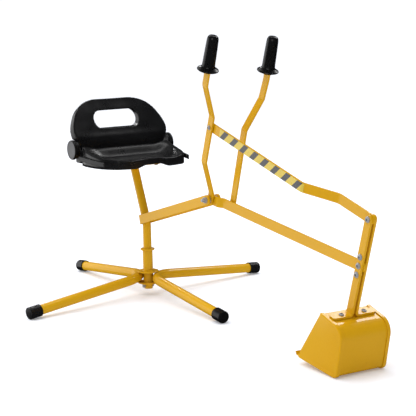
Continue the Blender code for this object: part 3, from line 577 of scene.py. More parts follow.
block = place(flat(fillet([(-96, -48), (6, -48), (6, 48), (-96, 48)], 8, 10, True), SEAT_PLATE_Z + 3 + GAP, PAN_FLOOR - PAN_T - GAP,
                   "seat_block", "xy"), "seat_block", look="plastic")
for screw in (-36, 36):
    boolean(block, place(cylinder(HOLE6, SEAT_PLATE_Z, SEAT_PLATE_Z + 12, 16, "seat_block_hole"), "seat_block_hole",
                         Matrix.Translation(Vector((-6, screw, 0)) * MM), cutter=True))

crossbar = place(flat(fillet([(-152, -130), (-113.5, -130), (-113.5, 130), (-152, 130)], 9, 12, True), 350, 362, "seat_crossbar", "xy"),
                 "seat_crossbar", look="plastic")
round_edges(crossbar, 2.0, 1)
rails, discs = [], []
for name, s in (("right", -1), ("left", 1)):
    outline = [(-106, s * 136.6), (-106, s * 141.8), (-50, s * 138.4), (-8, s * 131.8), (12, s * 127.6), (12, s * 124.0), (-8, s * 127.8),
               (-50, s * 134.2)]
    if s > 0:
        outline = outline[::-1]
    mesh = flat(outline, 359.5, 371.8, "seat_rail_" + name, "xy")
    for v in mesh.vertices:
        v.co.z -= (v.co.x + 0.104) * 0.057
    rail = place(mesh, "seat_rail_" + name, look="grey")
    rails.append(rail)
    m = axis_y(HINGE[0], s * 140.4, HINGE[1])
    if s < 0:
        m = m @ Matrix.Rotation(math.pi, 4, "X")
    disc = place(revolve([(0, 9.0), (20.4, 9.0), (20.9, 9.4), (23.9, 9.4), (24.9, 9.0), (25.6, 8.1), (26.0, 6.8), (26.0, 2.0), (24.0, -0.5), (24.0, -6.5), (0, -6.5)], 96, "seat_disc_" + name),
                 "seat_disc_" + name, m, "grey")
    discs.append(disc)
belongs("swivel", plate, *screws, block, pan, crossbar, *rails, *discs)

BACK_HALF = ((376, 116.0), (391, 126.5), (401, 130.5), (412, 133.5), (420, 136.0), (432, 138.8), (451, 134.0), (475, 121.5), (493, 108.0),
             (506, 92.0), (513, 78.0), (517.5, 63.0), (519.5, 50.0))
BACK_Z0, BACK_Z1, BACK_T = 376.5, 519.5, 19.0


def back_point(u, v):
    """v runs up, u across. The surface is dished, with its sides brought forward."""
    z = BACK_Z0 + (BACK_Z1 - BACK_Z0) * (1 - (1 - (v + 1) / 2) ** 1.25)
    half = lerp_table(BACK_HALF, z)
    eased = (lerp_table(BACK_HALF, z - 7) + 2 * half + lerp_table(BACK_HALF, z + 7)) / 4
    half += (eased - half) * (1 - smooth((z - 492) / 16))
    y = u * (half + 1.6 * smooth((z - 400) / 20))
    dish = 1 - min(abs(y) / 138.0, 1.0) ** 2.4
    x = -123.4 - max(z - 417, 0.0) * 0.53 - 11.0 * dish * smooth((z - 394) / 40)
    return x, -y, z - 8.0 * dish * smooth((z - 474) / 46)


back = place(grid_skin("seat_back", 56, 44, back_point, (1, 0, 0)), "seat_back", look="plastic")
m = back.modifiers.new("wall", "SOLIDIFY")
m.thickness, m.offset, m.use_even_offset = (BACK_T + 3.0) * MM, -0.86, False
window = place(flat(fillet([(436, -67), (481.5, -67), (481.5, 67), (436, 67)], 21, 16, True), -90, 90, "seat_window", "xy"), "seat_window",
               Matrix.Translation((-0.165, 0, 0)) @ Matrix(((0, 0, 1, 0), (0, 1, 0, 0), (1, 0, 0, 0), (0, 0, 0, 1))), cutter=True)
boolean(back, window)
m = back.modifiers.new("mould", "REMESH")
m.mode, m.voxel_size, m.use_smooth_shade = "VOXEL", 0.0018, True
m = back.modifiers.new("ease", "SMOOTH")
m.factor, m.iterations = 0.5, 10
belongs("seat_back", back)

# ---------------------------------------------------------------- boom and right lever
boom_len = math.dist(P0, P1)
boom_angle = math.degrees(math.atan2(P1[1] - P0[1], P1[0] - P0[0]))
boom_m = frame_xz(P0, boom_angle)
plan = fillet([(-14, BOOM_Y0), (25, BOOM_Y0), (37, BOOM_Y), (boom_len + 14, BOOM_Y)], 7, 10)
outline = [(x, w - BOOM_DROP) for x, w in slot_outline(0, boom_len, BOOM_H / 2)]
boom = bar("boom_bar", boom_m, plan, BOOM_H + 4, BAR_T, outline)
drill(boom, [P0, P1], HOLE8)

right_m = frame_xz(RIGHT_FOOT, 90 - RIGHT_LEAN)
plan = fillet([(-12, RIGHT_Y[0]), (RIGHT_S[0], RIGHT_Y[0]), (RIGHT_S[1], RIGHT_Y[1]), (RIGHT_S[2], RIGHT_Y[2]), (402, RIGHT_Y[2])], 16, 10)
right_lever = bar("right_lever", right_m, plan, LEVER_H + 0.4, BAR_T, slot_outline(0, 388, LEVER_H / 2))

GRIP = [(0, 90.0), (5.8, 89.8), (9.6, 88.6), (11.8, 86.4), (13.0, 83.0), (13.5, 78.5), (14.1, 60.0), (14.6, 40.0), (14.9, 24.0), (15.4, 17.0),
        (17.6, 13.4), (23.6, 10.4), (25.0, 9.4), (25.4, 8.2), (25.0, 7.0), (23.6, 6.0), (14.0, 3.4), (12.6, 1.6), (12.0, 1.2), (0, 1.2)]


def grip(name, bar_matrix, s, y):
    """A moulded handle with a flange, slotted for the lever's end."""
    m = bar_matrix @ Matrix.Translation(Vector((s, y, 0)) * MM) @ Matrix(((0, 0, 1, 0), (1, 0, 0, 0), (0, 1, 0, 0), (0, 0, 0, 1)))
    obj = place(revolve(GRIP, 72, name), name, m, "plastic")
    w, h = LEVER_H / 2 + 0.5, BAR_T / 2 + 0.6
    socket = place(flat([(-h, -w), (h, -w), (h, w), (-h, w)], -20, 72, name + "_socket", "xy"), name + "_socket", m, cutter=True)
    boolean(obj, socket)
    return obj


right_grip = grip("right_grip", right_m, 328.0, RIGHT_Y[2])
belongs("boom", boom, right_lever, right_grip)

# ---------------------------------------------------------------- left lever
left_angle = math.degrees(math.atan2(P3[1] - P0[1], P3[0] - P0[0]))
left_m = frame_xz(P0, left_angle)
lever_len = math.dist(P0, P3)
plan = fillet([(-12, LEFT_Y[0]), (LEFT_S[0], LEFT_Y[0]), (LEFT_S[1], LEFT_Y[1]), (LEFT_S[2], LEFT_Y[2]), (LEFT_S[3], LEFT_Y[3]),
               (396, LEFT_Y[3])], 16, 10)
left_lever = bar("left_lever", left_m, plan, LEVER_H + 0.4, BAR_T, slot_outline(0, 382, LEVER_H / 2))
drill(left_lever, [P0], HOLE8)
drill(left_lever, [P3], HOLE6)
left_grip = grip("left_grip", left_m, 331.5, LEFT_Y[3])
rod_face = ROD_Y + BAR_T / 2
turn_out = Matrix.Rotation(math.pi, 4, "X")
rod_bolt = dome_bolt("rod_bolt", axis_y(P3[0], LEFT_Y[2] - BAR_T / 2 - GAP, P3[1]) @ turn_out, BOLT6, 5.4, 3.4, 22.5)
rod_nut = nut("rod_nut", axis_y(P3[0], rod_face + GAP, P3[1]), BOLT6, 10.0, 0, 5.0)
belongs("left_lever", left_lever, left_grip, rod_bolt, rod_nut)

# ---------------------------------------------------------------- control rod
rod_len = math.dist(P3, P2)
rod_angle = math.degrees(math.atan2(P2[1] - P3[1], P2[0] - P3[0]))
rod_m = frame_xz(P3, rod_angle)
plan = fillet([(-14, ROD_Y), (370, ROD_Y), (443, BOOM_Y), (rod_len + 14, BOOM_Y)], 24, 10)
rod = bar("control_rod", rod_m, plan, ROD_H + 0.4, BAR_T, slot_outline(0, rod_len, ROD_H / 2))
drill(rod, [P3], HOLE6)
drill(rod, [P2], HOLE8)
face = ROD_Y - BAR_T / 2 - GAP - 0.2
plan = fillet([(30, face), (370.85, face), (378.4, face + 4.6)], 27.0, 10)
strip = bar("warning_strip", rod_m, plan, 21.0, 0.4, fillet([(38, -10.2), (376, -10.2), (376, 10.2), (38, 10.2)], 1.5, 6, True))
belongs("control_rod", rod, strip)

# ---------------------------------------------------------------- stick
stick_angle = math.degrees(math.atan2(P2[1] - P1[1], P2[0] - P1[0]))
stick_m = frame_xz(P1, stick_angle)
stick_len = math.dist(P1, P2)
NEAR_Y, FAR_Y = BOOM_Y - BAR_T / 2 - GAP - STICK_T / 2, BOOM_Y + BAR_T / 2 + GAP + STICK_T / 2
FOOT_S = -114.6
stick_side = [(stick_len + (STICK_W / 2) * math.cos(math.radians(a)), (STICK_W / 2) * math.sin(math.radians(a))) for a in range(-90, 91, 6)]
stick_side += [(-160, STICK_W / 2), (-160, -STICK_W / 2)]
bars = []
for name, y, s in (("stick_bar_near", NEAR_Y, -1), ("stick_bar_far", FAR_Y, 1)):
    tip = FOOT_NEAR if s < 0 else FOOT_FAR
    plan = fillet([(stick_len + 14, y), (FOOT_S, y), (FOOT_S, tip + s * 3)], 6.5, 12)
    piece = bar(name, stick_m, plan, STICK_W + 0.4, STICK_T, stick_side)
    foot = [(tip - s * 7 + s * 7 * math.cos(math.radians(a)), (STICK_W / 2 - 7) * (1 if a > 0 else -1) + 7 * math.sin(math.radians(a)))
            for a in (-90, -67.5, -45, -22.5, 22.5, 45, 67.5, 90)]
    foot += [(BOOM_Y - s * 12, STICK_W / 2 + 0.0), (BOOM_Y - s * 12, -STICK_W / 2 - 0.0)]
    swap = Matrix(((0, 0, 1, 0), (1, 0, 0, 0), (0, 1, 0, 0), (0, 0, 0, 1)))
    foot_trim = place(flat(foot, -200, 200, name + "_foot_trim", "xy"), name + "_foot_trim", stick_m @ swap, cutter=True)
    boolean(piece, foot_trim, "INTERSECT")
    bars.append(piece)
UPPER, LOWER = 20.2, -20.6
stick_bolts = []
outer = STICK_T + GAP + BAR_T / 2
for name, s, r in (("stick_bolt_rod", stick_len, BOLT8), ("stick_bolt_upper", UPPER, BOLT6), ("stick_bolt_boom", 0.0, BOLT8),
                   ("stick_bolt_lower", LOWER, BOLT6)):
    x, z = at_bar(stick_m, s)
    for b in bars:
        drill(b, [(x, z)], r + 0.4)
    # the rod's own pivot is left open, so its bolt ends inside the near bar
    shank = STICK_T + GAP - 0.1 if s > UPPER else 2 * outer + GAP + 0.6
    stick_bolts.append(dome_bolt(name, axis_y(x, BOOM_Y - outer - GAP, z) @ turn_out, r, 6.9, 3.6, shank))
    if r == BOLT6:
        stick_bolts.append(place(revolve([(4.2, 2.4), (4.2, -2.4), (r + 0.32, -2.4), (r + 0.32, 2.4)], 16, name + "_spacer", True),
                                 name.replace("bolt", "spacer"), axis_y(x, BOOM_Y, z), "zinc"))

# ---------------------------------------------------------------- scoop
BOTTOM_SLOPE = -0.121
BACK_SLOPE = 0.2143


def bottom_z(x):
    return 18.9 + BOTTOM_SLOPE * (x - 752)


corner_x = (893.0 + BACK_SLOPE * (bottom_z(893.0))) / 1.0
corner = (corner_x - 0.5, bottom_z(corner_x))


def back_x(z):
    return 893.0 + BACK_SLOPE * z


TOP_Z = 120.3                   # scoop's top face above the stick's feet
TOP_EDGE = (841.0, TOP_Z - TOP_SLOPE * (841.0 - 866.0))
shoulder_z = (TOP_Z + TOP_SLOPE * (866.0 - 893.0)) / (1 + TOP_SLOPE * BACK_SLOPE)
shoulder = (back_x(shoulder_z), shoulder_z)
corner = (back_x(1.9), bottom_z(back_x(1.9)))
LIP = (748.5, 26.5)
profile = fillet([LIP, (752.0, bottom_z(752.0)), corner, shoulder, TOP_EDGE], [0, 3, 12, 30, 0], 14)
# the outline runs along the bottom to the back and up, so the outside is on its right
shell_outline = profile + offset_line(profile, SHEET)[::-1]
shell = place(flat(shell_outline, BUCKET_Y0 + SHEET + GAP, BUCKET_Y1 - SHEET - GAP, "bucket_shell"), "bucket_shell", look="yellow")

FLANGE = 9.0


def side_plate(name, y_out, direction):
    start = (762.0, bottom_z(762.0))
    run = fillet([start, corner, shoulder, TOP_EDGE], [0, 12, 30, 0], 14)
    rim = offset_line(run, -(GAP + SHEET))
    outline = rim + [(TOP_EDGE[0] - 0.2, TOP_EDGE[1] - 2.0), (770.5, 33.0)]
    low, high = sorted((y_out, y_out + direction * FLANGE))
    mesh = flat(outline, low, high, name)
    bm = bmesh.new()
    bm.from_mesh(mesh)
    weight = bm.edges.layers.float.new("bevel_weight_edge")
    rim_set = [Vector((x, z)) * MM for x, z in rim]

    def on_rim(v):
        return any((Vector((v.co.x, v.co.z)) - p).length < 1e-5 for p in rim_set)

    for e in bm.edges:
        if all(abs(v.co.y - y_out * MM) < 1e-6 and on_rim(v) for v in e.verts):
            e[weight] = 1.0
    bm.to_mesh(mesh)
    bm.free()
    obj = place(mesh, name, look="yellow")
    m = obj.modifiers.new("rolled_edge", "BEVEL")
    m.limit_method = "WEIGHT"
    m.width, m.segments = 2.8 * MM, 3
    inner = offset_line(fillet([(700.0, bottom_z(700.0)), corner, shoulder, (780.0, TOP_EDGE[1] + TOP_SLOPE * (TOP_EDGE[0] - 780.0))], [0, 12, 30, 0], 14), -GAP)
    low, high = sorted((y_out + direction * SHEET, y_out + direction * 30))
    cut = place(flat(inner, low, high, name + "_inside"), name + "_inside", cutter=True)
    boolean(obj, cut)
    return obj


side_near = side_plate("bucket_side_right", BUCKET_Y0, 1)
side_far = side_plate("bucket_side_left", BUCKET_Y1, -1)
foot_parts = []
for name, y in (("foot_bolt_right", -18.0), ("foot_bolt_left", 41.0)):
    m = stick_m @ Matrix.Translation(Vector((FOOT_S + STICK_T / 2 + GAP, y, 0)) * MM) @ Matrix(((0, 0, 1, 0), (1, 0, 0, 0), (0, 1, 0, 0), (0, 0, 0, 1)))
    drill_m = m.copy()
    cutter = place(cylinder(HOLE6, -40, 20, 16, name + "_hole"), name + "_hole", drill_m, cutter=True)
    for b in bars:
        if (y < BOOM_Y) == (b.name == PREFIX + "stick_bar_near"):
            boolean(b, cutter)
    boolean(shell, cutter)
    foot_parts.append(dome_bolt(name, m, BOLT6, 5.8, 3.2, 18.5))
    under = STICK_T + GAP * 3 + SHEET + 0.9
    foot_parts.append(nut(name.replace("bolt", "nut"), m, BOLT6, 10.0, -under - 5.0, -under))
belongs("stick", *bars, *stick_bolts, shell, side_near, side_far, *foot_parts)

# ---------------------------------------------------------------- details
for name in ("arm_bracket", "boom_bar", "right_lever", "left_lever", "control_rod", "stick_bar_near", "stick_bar_far"):
    round_edges(made[name], 0.7, 3, 50)
for name in ("seat_plate", "bucket_shell"):
    round_edges(made[name], 0.5, 2, 50)
for name in ("bucket_side_right", "bucket_side_left"):
    made[name].modifiers["rolled_edge"].segments = 8
for name in ("seat_rail_right", "seat_rail_left", "seat_block"):
    round_edges(made[name], 1.2, 3, 50)
for name in ("right_grip", "left_grip", "foot_cap_front", "foot_cap_left", "foot_cap_rear", "foot_cap_right"):
    round_edges(made[name], 0.5, 2, 50)


def bead(name, r, z, thick, seed):
    """A weld bead round the z axis: overlapping ripples with a slightly uneven edge."""
    count = 26
    profile = [(r + thick * math.cos(math.radians(a)), z + thick * 0.8 * math.sin(math.radians(a))) for a in range(0, 360, 24)]

    def wobble(i, k, rr, zz):
        a = 2 * math.pi * k / 156
        swell = 1 + 0.16 * abs(math.sin(a * count / 2)) + 0.06 * math.sin(3 * a + seed)
        return r + (rr - r) * swell, z + (zz - z) * swell

    return place(revolve(profile, 156, name, True, wobble), name)


for s in (-1, 1):
    low, high = sorted((s * 124.0, s * 131.0))
    lug = place(flat(fillet([(-121, 361), (-103, 361), (-103, 385), (-121, 385)], 4, 6, True), low, high, "lug"), "lug_%d" % (s + 1))
    round_edges(lug, 0.8, 3, 50)

WELDS = {"seat_pan": [made["lug_0"], made["lug_2"]],
         "hub_disc_top": [bead("weld_top", SLEEVE_OD / 2 + 0.4, DISC_TOP_Z + DISC_T + 0.2, 1.5, 0.0)],
         "hub_disc_bottom": [bead("weld_low", SLEEVE_OD / 2 + 0.4, DISC_LOW_Z - 0.2, 1.3, 1.0)],
         "post_collar": [bead("weld_collar", POST_OD / 2 + 0.4, COLLAR_Z + COLLAR_T + 0.1, 1.2, 2.0)]}

# ---------------------------------------------------------------- final meshes
ROOT = Matrix.Translation(Vector(AXIS_AT) * MM)
bpy.context.view_layer.update()
graph = bpy.context.evaluated_depsgraph_get()
meshes = {}
for name, obj in made.items():
    mesh = bpy.data.meshes.new_from_object(obj.evaluated_get(graph), depsgraph=graph)
    mesh.transform(ROOT @ obj.matrix_world)
    meshes[name] = mesh
for name, welds in WELDS.items():
    bm = bmesh.new()
    bm.from_mesh(meshes[name])
    for weld in welds:
        bm.from_mesh(meshes.pop(weld.name[len(PREFIX):]))
    bm.to_mesh(meshes[name])
    bm.free()
for obj in list(work.objects):
    bpy.data.objects.remove(obj, do_unlink=True)
bpy.data.collections.remove(work)


# ---------------------------------------------------------------- materials
class Graph:
    """A material's node tree, with short calls for the nodes used here."""

    def __init__(self, name, metallic=0.0, rough=0.4, specular=0.5, coat=0.0, coat_rough=0.1):
        self.material = bpy.data.materials.new(name)
        self.material.use_nodes = True
        self.nodes, self.links = self.material.node_tree.nodes, self.material.node_tree.links
        self.shader = self.nodes["Principled BSDF"]
        self.shader.inputs["Metallic"].default_value = metallic
        self.shader.inputs["Roughness"].default_value = rough
        self.shader.inputs["Specular IOR Level"].default_value = specular
        self.shader.inputs["Coat Weight"].default_value = coat
        self.shader.inputs["Coat Roughness"].default_value = coat_rough
        self.place = self.nodes.new("ShaderNodeTexCoord").outputs["Object"]

    def put(self, socket, value):
        if isinstance(value, (int, float, tuple)):
            socket.default_value = value
        else:
            self.links.new(value, socket)

    def noise(self, scale, detail=3.0, rough=0.55, vector=None, distortion=0.0):
        n = self.nodes.new("ShaderNodeTexNoise")
        self.put(n.inputs["Vector"], vector or self.place)
        for key, value in (("Scale", scale), ("Detail", detail), ("Roughness", rough), ("Distortion", distortion)):
            n.inputs[key].default_value = value
        return n.outputs["Fac"]

    def cells(self, scale, feature="F1"):
        n = self.nodes.new("ShaderNodeTexVoronoi")
        n.feature = feature
        self.put(n.inputs["Vector"], self.place)
        n.inputs["Scale"].default_value = scale
        return n.outputs["Distance"]

    def span(self, value, a, b, low, high):
        n = self.nodes.new("ShaderNodeMapRange")
        n.clamp = True
        self.put(n.inputs["Value"], value)
        for key, v in (("From Min", a), ("From Max", b), ("To Min", low), ("To Max", high)):
            n.inputs[key].default_value = v
        return n.outputs["Result"]

    def math(self, kind, a, b=0.0, c=None):
        n = self.nodes.new("ShaderNodeMath")
        n.operation = kind
        self.put(n.inputs[0], a)
        self.put(n.inputs[1], b)
        if c is not None:
            self.put(n.inputs[2], c)
        return n.outputs[0]

    def mix(self, fac, a, b):
        n = self.nodes.new("ShaderNodeMix")
        n.data_type = "RGBA"
        self.put(n.inputs["Factor"], fac)
        for socket, value in ((n.inputs[6], a), (n.inputs[7], b)):
            self.put(socket, value + (1.0,) if isinstance(value, tuple) else value)
        return n.outputs[2]

    def dot(self, direction):
        n = self.nodes.new("ShaderNodeVectorMath")
        n.operation = "DOT_PRODUCT"
        self.put(n.inputs[0], self.place)
        n.inputs[1].default_value = direction
        return n.outputs["Value"]

    def normal_along(self, direction):
        g = self.nodes.new("ShaderNodeNewGeometry")
        t = self.nodes.new("ShaderNodeVectorTransform")
        t.vector_type, t.convert_from, t.convert_to = "NORMAL", "WORLD", "OBJECT"
        self.put(t.inputs[0], g.outputs["Normal"])
        n = self.nodes.new("ShaderNodeVectorMath")
        n.operation = "DOT_PRODUCT"
        self.put(n.inputs[0], t.outputs[0])
        n.inputs[1].default_value = direction
        return n.outputs["Value"]

    def edges(self, low, high):
        """0 on flat areas and 1 on outer edges."""
        g = self.nodes.new("ShaderNodeNewGeometry")
        return self.span(g.outputs["Pointiness"], low, high, 0.0, 1.0)

    def bump(self, height, strength, distance, under=None):
        n = self.nodes.new("ShaderNodeBump")
        n.inputs["Strength"].default_value = strength
        n.inputs["Distance"].default_value = distance
        self.put(n.inputs["Height"], height)
        if under is not None:
            self.put(n.inputs["Normal"], under)
        return n.outputs["Normal"]

    def finish(self, color, roughness, normal):
        self.put(self.shader.inputs["Base Color"], color)
        self.put(self.shader.inputs["Roughness"], roughness)
        self.put(self.shader.inputs["Normal"], normal)
        if normal is not None:
            self.put(self.shader.inputs["Coat Normal"], normal)
        return self.material


def powder_coat():
    """Saturated satin yellow with a fine orange peel, a little grime in the rub marks, and a painted highlight that
    lightens the convex edges.
    """
    g = Graph("look_yellow_paint", rough=0.42, specular=0.15, coat=0.50, coat_rough=0.08)
    broad = g.span(g.noise(5.0, 2.0), 0.3, 0.7, 0.0, 1.0)
    fine = g.span(g.noise(260.0, 2.0), 0.3, 0.7, 0.0, 1.0)
    color = g.mix(broad, (0.690, 0.360, 0.0018), (0.655, 0.337, 0.0015))
    color = g.mix(g.math("MULTIPLY", fine, 0.22), color, (0.75, 0.41, 0.004))
    scuff = g.span(g.noise(34.0, 6.0, 0.72, distortion=0.8), 0.63, 0.74, 0.0, 0.35)
    color = g.mix(scuff, color, (0.56, 0.262, 0.004))
    # painted highlight: convex edges get a lighter yellow, standing in for the gleam along rounded edges
    color = g.mix(g.math("MULTIPLY", g.edges(0.52, 0.60), 0.4), color, (0.74, 0.43, 0.02))
    rough = g.math("ADD", g.span(g.noise(48.0, 4.0), 0.25, 0.75, 0.38, 0.48), g.math("MULTIPLY", scuff, 0.25))
    peel = g.bump(g.noise(620.0, 2.0, 0.5), 0.10, 0.0003)
    return g.finish(color, rough, g.bump(g.noise(90.0, 2.0), 0.05, 0.0012, peel))


def moulded(name, dark, light, rough, grain, strength=0.25, specular=0.5):
    """Moulded plastic: fine grain, faint flow marks, and slightly polished (smoother) edges, with a painted highlight
    that lightens the edges' colour.
    """
    g = Graph(name, rough=rough, specular=specular)
    flow = g.span(g.noise(9.0, 4.0, 0.6, distortion=1.2), 0.3, 0.7, 0.0, 1.0)
    color = g.mix(flow, dark, light)
    dust = g.span(g.noise(420.0, 4.0, 0.7), 0.66, 0.78, 0.0, 0.22)
    color = g.mix(dust, color, tuple(min(1.0, c * 3.2) for c in light))
    # painted highlight: edges get a lighter colour, standing in for the sheen along the rims; the lower roughness on
    # the next line is the polish itself
    color = g.mix(g.math("MULTIPLY", g.edges(0.53, 0.62), 0.5), color, tuple(min(1.0, c * 2.2) for c in light))
    wear = g.math("MULTIPLY", g.edges(0.53, 0.62), -0.06)
    roughness = g.math("ADD", g.span(g.noise(26.0, 4.0), 0.3, 0.7, rough - 0.05, rough + 0.06), wear)
    pits = g.bump(g.span(g.cells(grain), 0.0, 0.6, 0.0, 1.0), strength, 0.0003)
    return g.finish(color, roughness, g.bump(g.noise(70.0, 2.0), 0.04, 0.001, pits))


def hinge():
    """Black disc bodies with a lighter satin face, and dark rails."""
    g = Graph("look_hinge_plastic", rough=0.4)
    side = g.math("ABSOLUTE", g.normal_along((0.0, 1.0, 0.0)))
    along = g.dot((1.0, 0.0, 0.0))
    is_disc = g.span(along, -0.3869, -0.3864, 1.0, 0.0)
    face = g.math("MULTIPLY", g.span(side, 0.93, 0.985, 0.0, 1.0), is_disc)
    body = g.mix(is_disc, (0.020, 0.020, 0.021), (0.005, 0.005, 0.0055))
    worn = g.span(g.noise(55.0, 5.0, 0.65), 0.3, 0.75, 0.0, 1.0)
    plate = g.mix(worn, (0.088, 0.088, 0.090), (0.112, 0.112, 0.115))
    color = g.mix(face, body, plate)
    pits = g.bump(g.span(g.cells(1500.0), 0.0, 0.6, 0.0, 1.0), 0.18, 0.0003)
    return g.finish(color, g.span(g.noise(30.0, 3.0), 0.3, 0.7, 0.36, 0.46), g.bump(g.noise(70.0, 2.0), 0.04, 0.001, pits))


def zinc():
    g = Graph("look_zinc_fixings", metallic=0.35, rough=0.3)
    tint = g.span(g.noise(180.0, 3.0), 0.3, 0.7, 0.0, 1.0)
    color = g.mix(tint, (0.40, 0.40, 0.415), (0.46, 0.46, 0.465))
    spot = g.span(g.noise(900.0, 5.0, 0.7), 0.62, 0.75, 0.0, 0.5)
    color = g.mix(spot, color, (0.26, 0.26, 0.27))
    rough = g.span(g.noise(600.0, 4.0), 0.3, 0.7, 0.24, 0.40)
    return g.finish(color, rough, g.bump(g.noise(1500.0, 3.0), 0.12, 0.0002))


def strip_label():
    """Printed label: plain slanted dark bars on pale yellow, at 42.4 mm along the rod."""
    g = Graph("look_warning_strip", rough=0.3, specular=0.6, coat=0.3, coat_rough=0.12)
    angle = math.atan2(P2[1] - P3[1], P2[0] - P3[0])
    ahead, up = (math.cos(angle), 0.0, math.sin(angle)), (-math.sin(angle), 0.0, math.cos(angle))
    start = (Vector((P3[0], 0, P3[1])) + Vector(AXIS_AT)) * MM
    s = g.math("SUBTRACT", g.dot(ahead), start.dot(Vector(ahead)))
    w = g.math("SUBTRACT", g.dot(up), start.dot(Vector(up)))
    edge = g.math("MULTIPLY", g.math("SUBTRACT", g.noise(900.0, 3.0), 0.5), 0.0006)
    slant = g.math("SUBTRACT", g.math("ADD", s, edge), g.math("ADD", g.math("MULTIPLY", w, 0.857), 0.0487))
    phase = g.math("FRACT", g.math("ADD", g.math("DIVIDE", slant, 0.0424), 8.0))
    inside = g.math("MULTIPLY", g.math("LESS_THAN", phase, 0.437), g.math("GREATER_THAN", slant, -0.004))
    paper = g.mix(g.span(g.noise(40.0, 4.0), 0.3, 0.7, 0.0, 1.0), (0.66, 0.485, 0.050), (0.72, 0.53, 0.070))
    ink = g.mix(g.span(g.noise(350.0, 4.0, 0.7), 0.35, 0.7, 0.0, 1.0), (0.058, 0.058, 0.061), (0.078, 0.078, 0.082))
    rough = g.span(g.noise(60.0, 3.0), 0.3, 0.7, 0.26, 0.36)
    return g.finish(g.mix(inside, paper, ink), rough, g.bump(g.noise(400.0, 2.0), 0.05, 0.0003))


NODES = {
    "base": ("hub_sleeve", "hub_disc_bottom", "hub_disc_top", "leg_tube_right", "leg_tube_left", "foot_cap_front", "foot_cap_left",
             "foot_cap_rear", "foot_cap_right"),
    "swivel": ("post_tube", "post_collar", "keeper_bolt", "keeper_nut", "arm_bracket", "pivot_bolt", "pivot_nut", "pivot_spacer_near",
               "pivot_spacer_far", "seat_plate", "seat_screw_right", "seat_screw_left", "seat_block", "seat_pan", "seat_crossbar",
               "seat_rail_right", "seat_rail_left", "seat_disc_right", "seat_disc_left"),
    "seat_back": ("seat_back",),
    "boom": ("boom_bar", "right_lever", "right_grip"),
    "left_lever": ("left_lever", "left_grip", "rod_bolt", "rod_nut"),
    "control_rod": ("control_rod", "warning_strip"),
    "stick": ("stick_bar_near", "stick_bar_far", "stick_bolt_rod", "stick_bolt_upper", "stick_spacer_upper", "stick_bolt_boom",
              "stick_bolt_lower", "stick_spacer_lower", "bucket_shell", "bucket_side_right", "bucket_side_left", "foot_bolt_right",
              "foot_nut_right", "foot_bolt_left", "foot_nut_left"),
}
LOOK = {
    "yellow_paint": powder_coat(),
    "seat_plastic": moulded("look_seat_plastic", (0.0062, 0.0062, 0.0068), (0.0092, 0.0092, 0.0100), 0.30, 1300.0, 0.10, 0.8),
    "hinge_plastic": hinge(),
    "cap_rubber": moulded("look_cap_rubber", (0.0050, 0.0050, 0.0054), (0.0080, 0.0080, 0.0086), 0.30, 1700.0, 0.14),
    "grip_rubber": moulded("look_grip_rubber", (0.0045, 0.0045, 0.0048), (0.0068, 0.0068, 0.0073), 0.28, 2000.0, 0.12, 0.7),
    "zinc_fixings": zinc(),
    "warning_strip": strip_label(),
}
SLOT = {part["node"]: part["material_slot"] for part in frame["record"]["subparts"]}
BODY = {node: body for body, named in NODES.items() for node in named}

for name, mesh in meshes.items():
    obj = bpy.data.objects.new(PREFIX + name, mesh)
    bpy.context.scene.collection.objects.link(obj)
    mesh.materials.clear()
    mesh.materials.append(LOOK[SLOT[name]])
    mesh.polygons.foreach_set("material_index", [0] * len(mesh.polygons))
    mesh.shade_smooth()
    if name not in ("seat_back", "seat_pan"):
        mesh.set_sharp_from_angle(angle=math.radians(33))
        m = obj.modifiers.new("weighted", "WEIGHTED_NORMAL")
        m.keep_sharp = True
    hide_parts(name)
    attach(obj, BODY[name])

# ---------------------------------------------------------------- camera
PITCH, ROLL, TURN = 0.16799661812372155, -0.02015824135432217, 1.025069758632883
FOCAL = 1278.8726386523176
flat_right, flat_ahead = Vector((math.cos(TURN), math.sin(TURN), 0)), Vector((-math.sin(TURN), math.cos(TURN), 0))
ahead = flat_ahead * math.cos(PITCH) - Vector((0, 0, 1)) * math.sin(PITCH)
over = flat_ahead * math.sin(PITCH) + Vector((0, 0, 1)) * math.cos(PITCH)
right = flat_right * math.cos(ROLL) + over * math.sin(ROLL)
up = over * math.cos(ROLL) - flat_right * math.sin(ROLL)
spot = Vector((0.0, 0.0, 0.0155)) - (right * -0.15840572277390708 + up * -0.21420568637874468 + ahead * 3.4123080243219865)
spot += Vector(AXIS_AT) * MM
lens = bpy.data.cameras.new("photo_camera")
lens.sensor_width = 36.0
lens.lens = FOCAL / 416 * 36.0
lens.clip_end = 2000.0
camera = bpy.data.objects.new("photo_camera", lens)
bpy.context.scene.collection.objects.link(camera)
turned = Matrix((right, up, -ahead)).transposed().to_4x4()
turned.translation = spot
camera.matrix_world = turned
bpy.context.scene.camera = camera

# ---------------------------------------------------------------- floor and light
scene = bpy.context.scene
scene.view_settings.view_transform = "Standard"
scene.view_settings.look = "None"
scene.view_settings.exposure = 0.0
scene.view_settings.gamma = 1.0


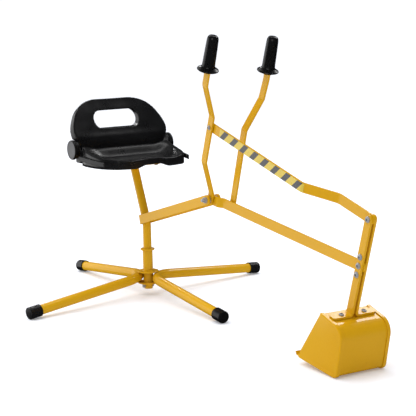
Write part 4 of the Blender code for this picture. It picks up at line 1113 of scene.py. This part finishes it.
def stage_plane(name, x0, y0, x1, y1, z, color, rough, glow):
    mesh = bpy.data.meshes.new(name)
    mesh.from_pydata([(x0, y0, z), (x1, y0, z), (x1, y1, z), (x0, y1, z)], [], [(0, 1, 2, 3)])
    obj = bpy.data.objects.new(name, mesh)
    scene.collection.objects.link(obj)
    m = bpy.data.materials.new(name)
    m.use_nodes = True
    shader = m.node_tree.nodes["Principled BSDF"]
    shader.inputs["Base Color"].default_value = color
    shader.inputs["Roughness"].default_value = rough
    shader.inputs["Specular IOR Level"].default_value = 0.0
    shader.inputs["Emission Color"].default_value = (1, 1, 1, 1)
    shader.inputs["Emission Strength"].default_value = glow
    mesh.materials.append(m)
    return obj


floor = stage_plane("floor", -300, -300, 300, 300, -0.0004, (0.85, 0.87, 0.93, 1), 1.0, 0.17)

world = bpy.data.worlds.new("studio")
scene.world = world
world.use_nodes = True
world.node_tree.nodes["Background"].inputs["Color"].default_value = (1.0, 1.0, 1.0, 1)
world.node_tree.nodes["Background"].inputs["Strength"].default_value = 0.36
world.cycles_visibility.glossy = False


def area(name, at, to, width, height, power):
    light = bpy.data.lights.new(name, "AREA")
    light.shape = "RECTANGLE"
    light.size, light.size_y, light.energy = width, height, power
    obj = bpy.data.objects.new(name, light)
    scene.collection.objects.link(obj)
    obj.location = at
    obj.rotation_euler = (Vector(to) - Vector(at)).to_track_quat("-Z", "Y").to_euler()
    obj.visible_camera = False
    return obj


sun = bpy.data.lights.new("overhead", "SUN")
sun.energy, sun.angle = 2.15, math.radians(70)
sun_obj = bpy.data.objects.new("overhead", sun)
scene.collection.objects.link(sun_obj)
sun_obj.visible_glossy = False
sun_obj.rotation_euler = (math.radians(14), math.radians(-8), 0)
area("left_wall", (-3.1, -1.9, 0.5), (0.0, 0.0, 0.35), 4.5, 3.0, 41.0)
key = area("left_key", (-1.3, -3.0, 1.7), (0.1, 0.0, 0.3), 1.6, 1.2, 7.0)
key.visible_glossy = False
area("back_strip", (-3.3, 0.3, 2.35), (0.0, 0.0, 0.1), 1.5, 0.22, 22.0)
area("far_box", (-0.6, 2.1, 2.2), (0.0, 0.0, 0.1), 1.2, 0.4, 12.0)
area("overhead_box", (-0.7, 0.5, 2.3), (-0.1, 0.0, 0.1), 1.5, 0.4, 4.5)
front = area("front_fill", (3.2, -2.6, 1.6), (0.2, 0.0, 0.3), 1.6, 1.2, 14.0)
floor.visible_glossy = False
